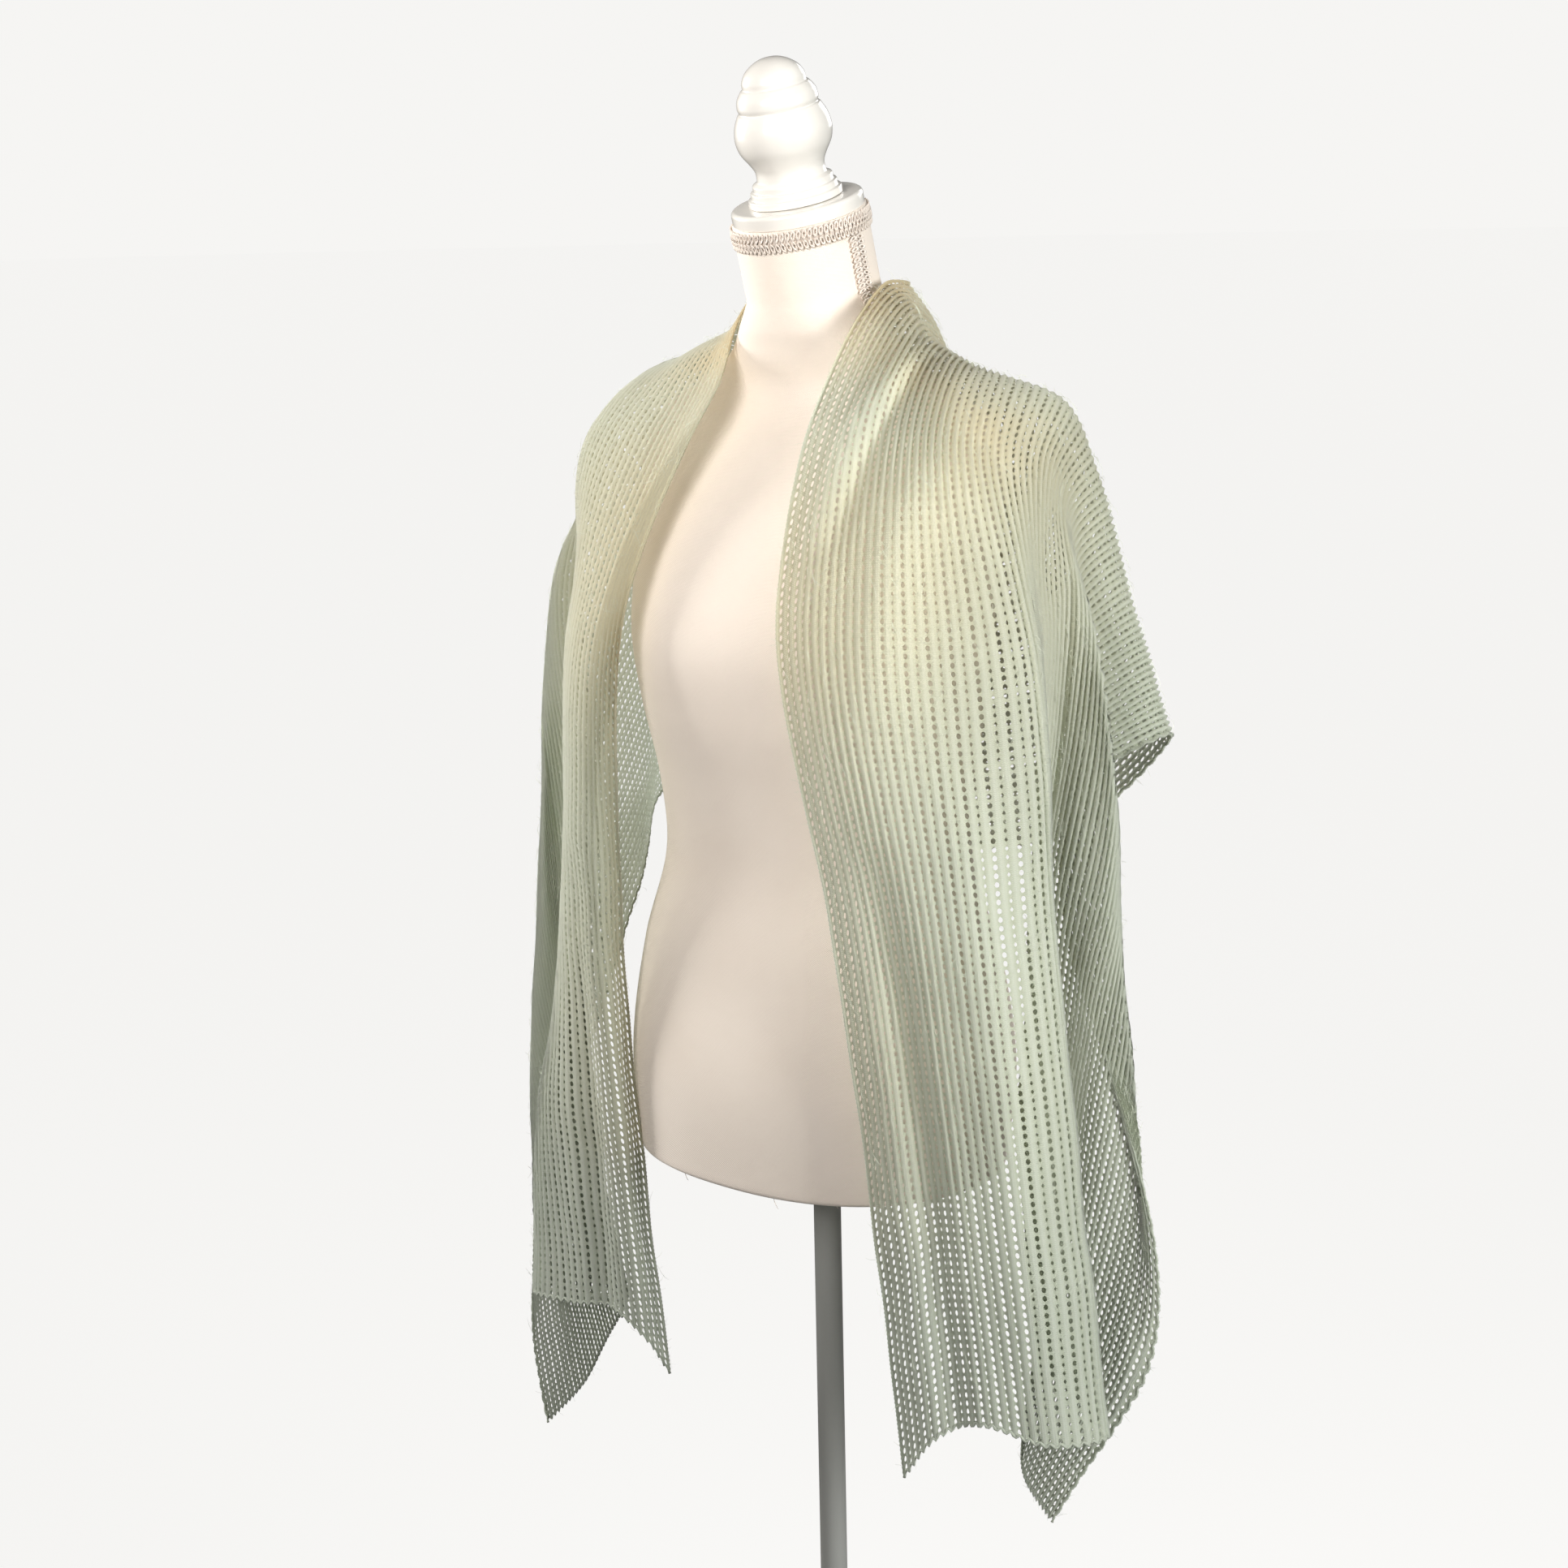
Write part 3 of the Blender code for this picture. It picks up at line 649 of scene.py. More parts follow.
# across, then six places: out from the centre, forward or back, height
LEFT_FOLDS = (
    (0.000, (0.060, 0.020, 1.495), (0.079, -0.080, 1.415), (0.086, -0.138, 1.275),
     (0.125, -0.130, 1.030), (0.151, -0.120, 0.821), (0.180, -0.120, 0.608)),
    (0.040, (0.078, 0.030, 1.478), (0.108, -0.075, 1.408), (0.122, -0.128, 1.265),
     (0.160, -0.124, 1.025), (0.187, -0.118, 0.822), (0.212, -0.120, 0.648)),
    (0.080, (0.092, 0.035, 1.452), (0.135, -0.062, 1.400), (0.158, -0.108, 1.255),
     (0.195, -0.108, 1.020), (0.222, -0.105, 0.822), (0.246, -0.108, 0.663)),
    (0.125, (0.118, 0.045, 1.436), (0.165, -0.045, 1.388), (0.200, -0.070, 1.245),
     (0.232, -0.078, 1.010), (0.258, -0.078, 0.822), (0.285, -0.080, 0.650)),
    (0.165, (0.152, 0.050, 1.425), (0.190, -0.020, 1.378), (0.233, -0.030, 1.237),
     (0.257, -0.030, 1.000), (0.280, -0.032, 0.820), (0.310, -0.040, 0.648)),
    (0.210, (0.193, 0.062, 1.407), (0.205, 0.020, 1.372), (0.222, 0.000, 1.240),
     (0.228, -0.022, 1.000), (0.240, -0.030, 0.820), (0.278, -0.024, 0.660)),
    (0.270, (0.202, 0.092, 1.352), (0.205, 0.055, 1.330), (0.221, 0.046, 1.270),
     (0.222, -0.005, 1.020), (0.222, -0.026, 0.820), (0.240, -0.022, 0.672)),
    (0.330, (0.211, 0.105, 1.300), (0.207, 0.066, 1.282), (0.252, 0.048, 1.130),
     (0.240, 0.018, 0.980), (0.232, -0.008, 0.800), (0.228, -0.024, 0.655)),
    (0.390, (0.221, 0.112, 1.247), (0.211, 0.074, 1.228), (0.257, 0.050, 0.980),
     (0.248, 0.025, 0.870), (0.238, -0.002, 0.745), (0.225, -0.030, 0.625)),
    (0.455, (0.233, 0.119, 1.197), (0.217, 0.082, 1.178), (0.273, 0.046, 0.810),
     (0.266, 0.022, 0.735), (0.252, -0.004, 0.665), (0.229, -0.034, 0.590)),
    (0.520, (0.244, 0.125, 1.150), (0.224, 0.088, 1.134), (0.292, 0.022, 0.655),
     (0.284, 0.008, 0.632), (0.270, -0.012, 0.600), (0.253, -0.030, 0.560)),
)
RIGHT_FOLDS = (
    (0.000, (0.062, 0.018, 1.486), (0.042, -0.068, 1.412), (0.072, -0.132, 1.272),
     (0.118, -0.110, 1.060), (0.115, -0.100, 0.820), (0.089, -0.100, 0.611)),
    (0.035, (0.085, 0.025, 1.464), (0.072, -0.066, 1.400), (0.098, -0.136, 1.250),
     (0.120, -0.136, 1.055), (0.118, -0.124, 0.820), (0.105, -0.118, 0.650)),
    (0.065, (0.112, 0.027, 1.452), (0.103, -0.064, 1.396), (0.128, -0.130, 1.245),
     (0.150, -0.132, 1.052), (0.150, -0.126, 0.820), (0.140, -0.122, 0.660)),
    (0.100, (0.147, 0.027, 1.438), (0.145, -0.060, 1.390), (0.162, -0.112, 1.240),
     (0.184, -0.106, 1.050), (0.205, -0.108, 0.820), (0.190, -0.112, 0.650)),
    (0.145, (0.186, 0.025, 1.422), (0.192, -0.046, 1.384), (0.178, -0.085, 1.235),
     (0.180, -0.075, 1.050), (0.243, -0.092, 0.800), (0.268, -0.084, 0.630)),
    (0.200, (0.200, 0.045, 1.376), (0.200, -0.022, 1.346), (0.207, -0.068, 1.290),
     (0.200, -0.070, 1.060), (0.225, -0.065, 0.800), (0.255, -0.050, 0.635)),
    (0.260, (0.217, 0.060, 1.315), (0.215, 0.005, 1.285), (0.225, -0.080, 1.165),
     (0.222, -0.078, 1.020), (0.205, -0.060, 0.790), (0.215, -0.045, 0.640)),
    (0.320, (0.231, 0.070, 1.258), (0.226, 0.022, 1.225), (0.236, -0.085, 1.030),
     (0.228, -0.080, 0.930), (0.215, -0.062, 0.770), (0.215, -0.025, 0.620)),
    (0.390, (0.248, 0.082, 1.185), (0.238, 0.038, 1.150), (0.250, -0.085, 0.900),
     (0.240, -0.078, 0.820), (0.235, -0.062, 0.700), (0.235, -0.030, 0.580)),
    (0.455, (0.264, 0.092, 1.110), (0.248, 0.050, 1.075), (0.266, -0.078, 0.760),
     (0.258, -0.072, 0.700), (0.256, -0.058, 0.610), (0.258, -0.040, 0.533)),
    (0.520, (0.280, 0.098, 1.040), (0.256, 0.060, 1.003), (0.280, -0.070, 0.660),
     (0.300, -0.058, 0.600), (0.305, -0.052, 0.552), (0.295, -0.050, 0.490)),
)
print("folds:", len(LEFT_FOLDS), "ribs on the left,", len(RIGHT_FOLDS), "on the right")


# %% From cloth measures to places
def centre_of_back(across):
    """Where a rib crosses the centre of the back, below the nape."""
    fullness = BACK_FULLNESS * (1.0 - math.exp(-across / BACK_FULLNESS_OVER))
    return (0.0, NAPE_DEPTH + fullness, NAPE_HEIGHT - BACK_FALL * across)


def shoulder_blade(centre, shoulder):
    """Where a rib lies between the centre of the back and the shoulder."""
    return (BLADE_OUT * shoulder[0],
            centre[1] + BLADE_TOWARDS_SHOULDER * (shoulder[1] - centre[1]) + BLADE_FULLNESS,
            centre[2] + BLADE_RISE * (shoulder[2] - centre[2]))


def drape(folds, side, along, across):
    """Points of the cloth on one side, for cloth measures along and across it."""
    rows = []
    for row in folds:
        centre = centre_of_back(row[0])
        stations = [centre, shoulder_blade(centre, row[1])] + list(row[1:])
        rows.append([(side * out, depth, height) for out, depth, height in stations])
    knots = np.array([row[0] for row in folds]) * STOLE_WIDTH / folds[-1][0]
    ribs = smooth_through(knots, np.array(rows), across)
    cloth = np.empty((len(along), len(across), 3))
    share = np.clip(np.asarray(along) / STOLE_HALF_LENGTH, 0.0, 1.0)
    for j, rib in enumerate(ribs):
        lengths = np.linalg.norm(np.diff(rib, axis=0), axis=1)
        reach = np.concatenate([[0.0], np.cumsum(lengths)])
        cloth[:, j] = smooth_through(reach, rib, share * reach[-1])
    return cloth


middle = drape(LEFT_FOLDS, 1, [0.0, 0.5, 1.0], [0.0, STOLE_WIDTH])
print("left neck edge at the back, bust and end:", middle[:, 0].round(3).tolist())

# %% [markdown]
# ## The smaller creases
# The tables hold the big folds. The photographed shawl also has a few soft
# creases: one that runs from the roll at the neck down to the front edge, some
# shallow ones over the chest and long upright ones below the hip. Each is a line
# over the cloth with a width and a height, and it lifts or sinks the cloth along
# its own outward direction. A slow, fixed unevenness keeps the rest from looking
# machined.

# %% Creases, listed
# side, width, height, then the line as (along, across) places
CREASES = (
    (1, 0.012, 0.008, ((0.150, 0.075), (0.240, 0.052), (0.345, 0.020))),
    (1, 0.010, -0.006, ((0.155, 0.098), (0.245, 0.074), (0.350, 0.042))),
    (1, 0.020, 0.008, ((0.280, 0.110), (0.360, 0.085), (0.480, 0.070))),
    (1, 0.017, -0.011, ((0.560, 0.050), (0.800, 0.055), (1.150, 0.060))),
    (1, 0.020, 0.007, ((0.500, 0.120), (0.800, 0.125), (1.150, 0.130))),
    (-1, 0.012, 0.004, ((0.500, 0.020), (0.800, 0.025), (1.150, 0.030))),
    (-1, 0.014, -0.009, ((0.600, 0.062), (0.860, 0.066), (1.150, 0.070))),
)
UNEVEN = 0.0030
UNEVEN_SCALE = 14.0


def from_line(along, across, places):
    """How far each cloth point lies from a line over the cloth, and how far along the line."""
    here = np.stack(np.meshgrid(along, across, indexing="ij"), axis=-1)
    nearest = np.full(here.shape[:2], np.inf)
    progress = np.zeros(here.shape[:2])
    for n, (start, end) in enumerate(zip(places, places[1:])):
        start, step = np.array(start), np.array(end) - np.array(start)
        share = np.clip(((here - start) @ step) / (step @ step), 0.0, 1.0)
        reach = np.linalg.norm(here - start - share[..., None] * step, axis=-1)
        progress = np.where(reach < nearest, (n + share) / (len(places) - 1), progress)
        nearest = np.minimum(nearest, reach)
    return nearest, progress


def creased(side, along, across):
    """How far the creases and the unevenness lift the cloth on one side."""
    lift = np.array([[UNEVEN * noise.noise(Vector((side * UNEVEN_SCALE * down, UNEVEN_SCALE * over, 0.0)))
                      for over in across] for down in along])
    for which, width, height, places in CREASES:
        if which == side:
            reach, progress = from_line(along, across, places)
            fade = np.sin(math.pi * progress) ** 0.7
            lift += height * fade * np.exp(-(reach / width) ** 2)
    return lift


def cloth_surface(side, along, across):
    """Places and outward directions of the finished cloth at a grid of measures."""
    folds = LEFT_FOLDS if side > 0 else RIGHT_FOLDS
    along, across = np.asarray(along, float), np.asarray(across, float)
    places = drape(folds, side, along, across)
    down = drape(folds, side, along + PROBE, across) - drape(folds, side, along - PROBE, across)
    over = drape(folds, side, along, across + PROBE) - drape(folds, side, along, across - PROBE)
    normals = np.cross(down, over) * side
    normals /= np.linalg.norm(normals, axis=2, keepdims=True)
    return places + normals * creased(side, along, across)[..., None], normals


print("creases:", len(CREASES))

# %% [markdown]
# ## The lace
# Each pattern repeat has two raised chain ribs, and a column of eyelets runs
# between each two of them, by turns with large and with small holes. The holes
# are real: the cloth is a grid whose lines follow the hole's edge and the rib's
# crest, and the four faces in the middle of each cell are taken out. A picture
# of holes would look flat from the side, and cutting a solid would take far too
# long.

# %% One cell of the knit, from rib to rib and from hole to hole
COLUMNS = 2 * RIB_COUNT
REPEAT = STOLE_WIDTH / COLUMNS
ROWS_OF_HOLES = 132
BACK_ROWS_OF_HOLES = 54
HOLE_HALF_WIDTH = 0.00130
FLAT_RELIEF = 0.0014
FULL_RELIEF = 0.0048
GATHER_SHARE = 0.80
# share of a cell across, and how high the cloth stands there in the relief
ACROSS_LINES = (0.0, 0.5 - HOLE_HALF_WIDTH / REPEAT, 0.5, 0.5 + HOLE_HALF_WIDTH / REPEAT)
ACROSS_RISE = (0.5, -0.3, -0.45, -0.3)
# share of the step from one hole to the next
ALONG_LINES = (0.0, 0.22, 0.51, 0.80)
HOLE_ROUNDING = 0.30
SMALL_HOLE_IN = 0.34
SMALL_HOLE_SHORT = 0.07
print("cell", round(REPEAT * 1000, 1), "mm across")


# %% The grid of the knit
def repeated(lines, count):
    """Put the lines of one repeat side by side, and close with the last edge."""
    steps = [n + line for n in range(count) for line in lines]
    return np.array(steps + [float(count)])


def knit_grid(name, rows, columns):
    """A grid with the middle of each cell taken out, its corners at grid numbers."""
    per_row, per_column = len(ALONG_LINES), len(ACROSS_LINES)
    bm = bmesh.new()
    bmesh.ops.create_grid(bm, x_segments=rows * per_row, y_segments=columns * per_column, size=0.5)
    holes = []
    for face in bm.faces:
        centre = face.calc_center_median()
        i = int((centre.x + 0.5) * rows * per_row) % per_row
        j = int((centre.y + 0.5) * columns * per_column) % per_column
        if i in (1, 2) and j in (1, 2):
            holes.append(face)
    bmesh.ops.delete(bm, geom=holes, context="FACES")
    mesh = bpy.data.meshes.new(name)
    bm.to_mesh(mesh)
    bm.free()
    return mesh


def relief(across_way):
    """How deep the ribs stand: a rib knit that is drawn in folds like a bellows."""
    drawn = np.clip(np.linalg.norm(across_way, axis=-1), 0.0, 1.0)
    bellows = GATHER_SHARE * REPEAT * np.sqrt(1.0 - drawn**2)
    return np.minimum(FLAT_RELIEF + bellows, FULL_RELIEF)


def shaped_hole(i, j, small):
    """Shifts that round a hole's corners and draw in the small ones, as shares of a cell."""
    down = np.zeros(i.shape)
    over = np.zeros(i.shape)
    half = HOLE_HALF_WIDTH / REPEAT
    for row, sign in ((1, 1.0), (3, -1.0)):
        down[(i == row) & (j > 0)] = 0.05 * sign
        down[(i == row) & (j == 2)] = -0.05 * sign
        down[(i == row) & (j > 0) & small] += SMALL_HOLE_SHORT * sign
    for column, sign in ((1, 1.0), (3, -1.0)):
        over[(j == column) & ((i == 1) | (i == 3))] = sign * HOLE_ROUNDING * half
        over[(j == column) & (i > 0) & small] += sign * SMALL_HOLE_IN * half
    return down, over


print("triangles in one cell:", 2 * (len(ALONG_LINES) * len(ACROSS_LINES) - 4))


# %% The scallops along the edges
HEM_SCALLOP = 0.0018
HEM_SCALLOP_REACH = 0.010
SIDE_SCALLOP = 0.0022
SIDE_SCALLOP_REACH = 0.007
SIDE_SCALLOP_LENGTH = 0.0126


def edge_shift(along, across):
    """How far the knit runs past its edges: along at the hems, across at the outer side."""
    along, across = np.meshgrid(along, across, indexing="ij")
    to_hem = STOLE_HALF_LENGTH - np.abs(along)
    ribs = np.cos(2.0 * math.pi * across / REPEAT)
    past_hem = np.sign(along) * HEM_SCALLOP * ribs * np.exp(-to_hem / HEM_SCALLOP_REACH)
    bows = np.abs(np.sin(math.pi * along / SIDE_SCALLOP_LENGTH)) - 0.5
    past_side = SIDE_SCALLOP * bows * np.exp(-(STOLE_WIDTH - across) / SIDE_SCALLOP_REACH)
    return past_hem, past_side


print("scallops", round(SIDE_SCALLOP_LENGTH * 1000, 1), "mm apart")

# %% How close the cloth lies to the form, for the form's painted glow
FORM_GLOW_REACH = 0.042
FORM_GLOW_GAIN = 1.25
FORM_GLOW_LEVELS = (0.85, 1.25)
FORM_GLOW_SHARES = (0.35, 1.0)


def painted_form_glow_share(places):
    """The share of painted light from the form: one where cloth touches the form, falling off to nothing away from it,
    and weaker lower down.
    """
    heights = [row[0] for row in TORSO_RINGS]
    level = np.clip(places[:, 2], heights[0], heights[-1])
    sizes = smooth_through(heights, [row[1:] for row in TORSO_RINGS], level)
    depth = np.where(places[:, 1] > 0.0, sizes[:, 2], sizes[:, 1])
    squared = (np.abs(places[:, 0] / sizes[:, 0]) ** TORSO_SQUARENESS
               + np.abs(places[:, 1] / depth) ** TORSO_SQUARENESS)
    reach = np.hypot(places[:, 0], places[:, 1])
    gap = np.maximum(reach * (1.0 - squared ** (-1.0 / TORSO_SQUARENESS)), 0.0)
    gap += np.maximum(heights[0] - places[:, 2], 0.0)
    # Painted light: the form's glow is cut back lower down.
    gain = FORM_GLOW_GAIN * np.interp(places[:, 2], FORM_GLOW_LEVELS, FORM_GLOW_SHARES)
    return np.clip(gain * np.exp(-gap / FORM_GLOW_REACH), 0.0, 1.0)


print("warm reach", FORM_GLOW_REACH)


# %% Lay a grid of knit on the drape
def both_sides(along, across):
    """The cloth surface for measures that may lie on either side of the back's centre."""
    along = np.asarray(along, float)
    places = np.empty((len(along), len(across), 3))
    normals = np.empty_like(places)
    for side in (1, -1):
        mine = along * side >= 0.0 if side > 0 else along < 0.0
        if mine.any():
            places[mine], normals[mine] = cloth_surface(side, np.abs(along[mine]), across)
    centre = np.abs(along) < 1e-9
    normals[centre] = (0.0, 1.0, 0.0)
    return places, normals


def lay_knit(name, along_range, across_range, rows, columns, material):
    """Make a stretch of lace between two measures along and two across."""
    mesh = knit_grid(name, rows, columns)
    per_row, per_column = len(ALONG_LINES), len(ACROSS_LINES)
    count = len(mesh.vertices)
    flat = np.empty(count * 3)
    mesh.vertices.foreach_get("co", flat)
    flat = flat.reshape(-1, 3)
    i = np.rint((flat[:, 0] + 0.5) * rows * per_row).astype(int)
    j = np.rint((flat[:, 1] + 0.5) * columns * per_column).astype(int)
    v_lines = repeated(ALONG_LINES, rows)
    u_lines = repeated(ACROSS_LINES, columns)
    along = along_range[0] + (along_range[1] - along_range[0]) * v_lines / rows
    across = across_range[0] + (across_range[1] - across_range[0]) * u_lines / columns
    places, normals = both_sides(along, across)
    along_way = np.gradient(places, along, axis=0)
    across_way = np.gradient(places, across, axis=1)
    small = (j // per_column + round(across_range[0] / REPEAT)) % 2 == 1
    down, over = shaped_hole(i % per_row, j % per_column, small)
    row_length = (along_range[1] - along_range[0]) / rows
    past_hem, past_side = edge_shift(along, across)
    depth = relief(across_way)[i, j]
    rise = np.array(ACROSS_RISE)[j % per_column] * depth
    here = (places[i, j] + normals[i, j] * rise[:, None]
            + along_way[i, j] * (down * row_length + past_hem[i, j])[:, None]
            + across_way[i, j] * (over * REPEAT + past_side[i, j])[:, None])
    mesh.vertices.foreach_set("co", here.ravel())
    uv = np.stack([u_lines[j] + over + across_range[0] / REPEAT, v_lines[i] + down], axis=1)
    corner = np.empty(len(mesh.loops), dtype=np.int32)
    mesh.loops.foreach_get("vertex_index", corner)
    layer = mesh.uv_layers.new(name="cloth")
    layer.data.foreach_set("uv", uv[corner].ravel())
    mesh.update()
    first = mesh.polygons[0]
    number = first.vertices[0]
    if first.normal.dot(Vector(normals[i[number], j[number]])) < 0.0:
        mesh.flip_normals()
    # Each point stores its share of painted light from the cream form, which the wool turns into a straw tint.
    painted_form_glow = mesh.attributes.new("painted_form_glow", "FLOAT", "POINT")
    painted_form_glow.data.foreach_set("value", painted_form_glow_share(here))
    return add_piece(name, mesh, material)


print("rows of holes on each side:", ROWS_OF_HOLES)

# %% [markdown]
# ### Mohair wool
# The yarn is a pale mint with a soft halo. Where the knit lies on the cream form,
# the form's glow through its small openings is painted: a value that was worked
# out for each point of the cloth, from its distance to the form and its height,
# blends a straw tint in as painted light. The chain of stitches on each rib is a
# bump on the cloth's own measures, so it follows every fold. The ribs' crests are
# painted lighter and the furrows between them darker, as painted shade.

# %% The stitch group
stitches, stitch_in, stitch_out = new_group(
    "chain_stitches", (("Stitches", "NodeSocketFloat"),),
    (("Height", "NodeSocketFloat"), ("Shade", "NodeSocketFloat")))
cloth_uv = stitches.nodes.new("ShaderNodeUVMap")
cloth_uv.uv_map = "cloth"
measures = stitches.nodes.new("ShaderNodeSeparateXYZ")
stitches.links.new(cloth_uv.outputs["UV"], measures.inputs[0])
WALES = 4.0
wale = math_node(stitches, "MULTIPLY", measures.outputs["X"], WALES)
zigzag = math_node(stitches, "PINGPONG", wale, 0.5)
course = math_node(stitches, "ADD", math_node(stitches, "MULTIPLY", measures.outputs["Y"], stitch_in.outputs["Stitches"]), zigzag)
chain = math_node(stitches, "SINE", math_node(stitches, "MULTIPLY", course, 2.0 * math.pi))
furrow = math_node(stitches, "COSINE", math_node(stitches, "MULTIPLY", wale, 2.0 * math.pi))
hair_place = stitches.nodes.new("ShaderNodeTexCoord").outputs["Object"]
hair = noise_value(stitches, hair_place, 700.0, 3.0)
height = math_node(stitches, "ADD", math_node(stitches, "MULTIPLY", chain, 0.35),
                   math_node(stitches, "ADD", math_node(stitches, "MULTIPLY", furrow, -0.25), hair))
stitches.links.new(height, stitch_out.inputs["Height"])
# Painted highlight and painted shade: the rib crests are made lighter and the furrows between them darker. The hair
# noise adds random tone.
painted_rib_shade = math_node(stitches, "COSINE", math_node(stitches, "MULTIPLY", measures.outputs["X"], 2.0 * math.pi))
shade = math_node(stitches, "ADD", math_node(stitches, "MULTIPLY", painted_rib_shade, 0.36),
                  math_node(stitches, "ADD", math_node(stitches, "MULTIPLY", hair, 0.5), 0.25))
stitches.links.new(shade, stitch_out.inputs["Shade"])
print("group:", stitches.name)

# %% Light through the yarn
def let_light_through(material, share, colour):
    """Mix in a Translucent shader, so that light from behind shows in thin yarn."""
    tree = material.node_tree
    through = tree.nodes.new("ShaderNodeBsdfTranslucent")
    tree.links.new(colour, through.inputs["Color"])
    both = tree.nodes.new("ShaderNodeMixShader")
    both.inputs[0].default_value = share
    tree.links.new(tree.nodes["Principled BSDF"].outputs[0], both.inputs[1])
    tree.links.new(through.outputs[0], both.inputs[2])
    tree.links.new(both.outputs[0], tree.nodes["Material Output"].inputs["Surface"])


print("yarn lets light through")

# %% The wool finish
MINT = (0.650, 0.688, 0.592)
MINT_DEEP = (0.490, 0.532, 0.410)
STRAW_FORM_GLOW = (0.710, 0.615, 0.400)
STRAW_FORM_GLOW_DEEP = (0.610, 0.500, 0.295)
wool = finish("mint_wool", MINT, 0.95, sheen=0.35)
tree = wool.node_tree
knitting = group_node(wool, stitches, {"Stitches": 4.0})
form_glow_node = tree.nodes.new("ShaderNodeAttribute")
form_glow_node.attribute_name = "painted_form_glow"
# The deep tones are painted shade in the furrows between ribs, mixed with random hair tone. The straw tones are painted
# light from the cream form, blended in by each point's stored share.
cool_tone = mix_colour(tree, knitting.outputs["Shade"], MINT_DEEP, MINT)
form_glow_tone = mix_colour(tree, knitting.outputs["Shade"], STRAW_FORM_GLOW_DEEP, STRAW_FORM_GLOW)
yarn_with_painted_light = mix_colour(tree, form_glow_node.outputs["Fac"], cool_tone, form_glow_tone)
tree.links.new(yarn_with_painted_light, tree.nodes["Principled BSDF"].inputs["Base Color"])
let_light_through(wool, 0.38, yarn_with_painted_light)
bump_into(wool, knitting.outputs["Height"], 0.5, 0.0006)
print("finish:", wool.name)

# %% Lace over both shoulders and down the front
HALF_COLUMNS = COLUMNS // 2
HALF_WIDTH = STOLE_WIDTH / 2
for word, side in (("left", 1), ("right", -1)):
    reach = (side * BACK_REACH, side * STOLE_HALF_LENGTH)
    for where, start in (("front", 0.0), ("side", HALF_WIDTH)):
        sheet = lay_knit(f"lace_{word}_{where}", reach, (start, start + HALF_WIDTH),
                         ROWS_OF_HOLES, HALF_COLUMNS, wool)
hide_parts("shawl_left")
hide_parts("shawl_right")

# %% Lace across the back
back = lay_knit("lace_back", (-BACK_REACH, BACK_REACH), (0.0, STOLE_WIDTH), BACK_ROWS_OF_HOLES,
                COLUMNS, wool)
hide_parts("shawl_back")

# %% [markdown]
# ### Selvedges and hems
# The edge stitches of a knitted lace form a firm chain, a little thicker than
# the cloth. A round cord with a bead for each stitch follows all four edges. It
# is one tube for each edge, since it bends with the cloth all the way.

# %% Beaded edges
BEAD_STEP = 0.0032
BEAD_RADIUS = 0.0013
BEAD_NECK = 0.0008
BEAD_SIDES = 5
RIB_CREST = 0.0


def beaded_edge(name, along, across, inward):
    """A beaded cord on an edge: one of the two measures is a single number, in an array."""
    places, normals = both_sides(along, across)
    past_hem, past_side = edge_shift(along, across)
    back_step = np.copysign(PROBE, along)
    along_way = (places - both_sides(along - back_step, across)[0]) / back_step[:, None, None]
    across_way = (both_sides(along, across + inward * PROBE)[0] - places) / (inward * PROBE)
    line = (places + along_way * past_hem[..., None] + across_way * past_side[..., None]).reshape(-1, 3)
    normals = normals.reshape(-1, 3)
    heading = np.gradient(line, axis=0)
    heading /= np.linalg.norm(heading, axis=1, keepdims=True)
    sideways = np.cross(heading, normals)
    sideways /= np.linalg.norm(sideways, axis=1, keepdims=True)
    outward = np.cross(sideways, heading)
    radius = np.where(np.arange(len(line)) % 2 == 0, BEAD_RADIUS, BEAD_NECK)[:, None, None]
    turns = np.linspace(0.0, 2.0 * math.pi, BEAD_SIDES, endpoint=False)[None, :, None]
    rings = line[:, None] + radius * (np.cos(turns) * outward[:, None] + np.sin(turns) * sideways[:, None])
    mesh = skin(name, rings)
    layer = mesh.uv_layers.new(name="cloth")
    # The beads take the tone of a rib crest, where the painted rib shade is lightest, and their own share of painted
    # light from the form.
    layer.data.foreach_set("uv", np.tile([RIB_CREST, 0.0], len(layer.data)))
    painted_form_glow = mesh.attributes.new("painted_form_glow", "FLOAT", "POINT")
    flat = np.empty(len(mesh.vertices) * 3)
    mesh.vertices.foreach_get("co", flat)
    painted_form_glow.data.foreach_set("value", painted_form_glow_share(flat.reshape(-1, 3)))
    return add_piece(name, mesh, wool)


edge_steps = int(2.0 * STOLE_HALF_LENGTH / BEAD_STEP) * 2 + 1
edge_along = np.linspace(-STOLE_HALF_LENGTH, STOLE_HALF_LENGTH, edge_steps)
beaded_edge("neck_selvedge", edge_along, np.array([0.0]), 1)
beaded_edge("outer_selvedge", edge_along, np.array([STOLE_WIDTH]), -1)
hem_steps = int(STOLE_WIDTH / BEAD_STEP) * 2 + 1
hem_across = np.linspace(0.0, STOLE_WIDTH, hem_steps)
beaded_edge("left_hem", np.array([STOLE_HALF_LENGTH]), hem_across, 1)
beaded_edge("right_hem", np.array([-STOLE_HALF_LENGTH]), hem_across, 1)

# %% [markdown]
# ### The halo of loose hair
# Mohair stands off the knit as single hairs. A real hair is far too fine to
# draw one by one, so each hair here is a narrow strip and stands for a few. All
# strips of one piece come from one grid with every second column taken out, and
# then each is bent to its own place. A fixed seed gives the same hairs each run.

# %% Hairs as narrow strips
HAIR_WIDTH = 0.00022
HAIR_LENGTH = (0.006, 0.016)
HAIR_RISE = (0.0006, 0.0042)
HAIR_STEPS = 3
HAIRS_A_SIDE = 9000
HAIRS_ON_THE_BACK = 6000


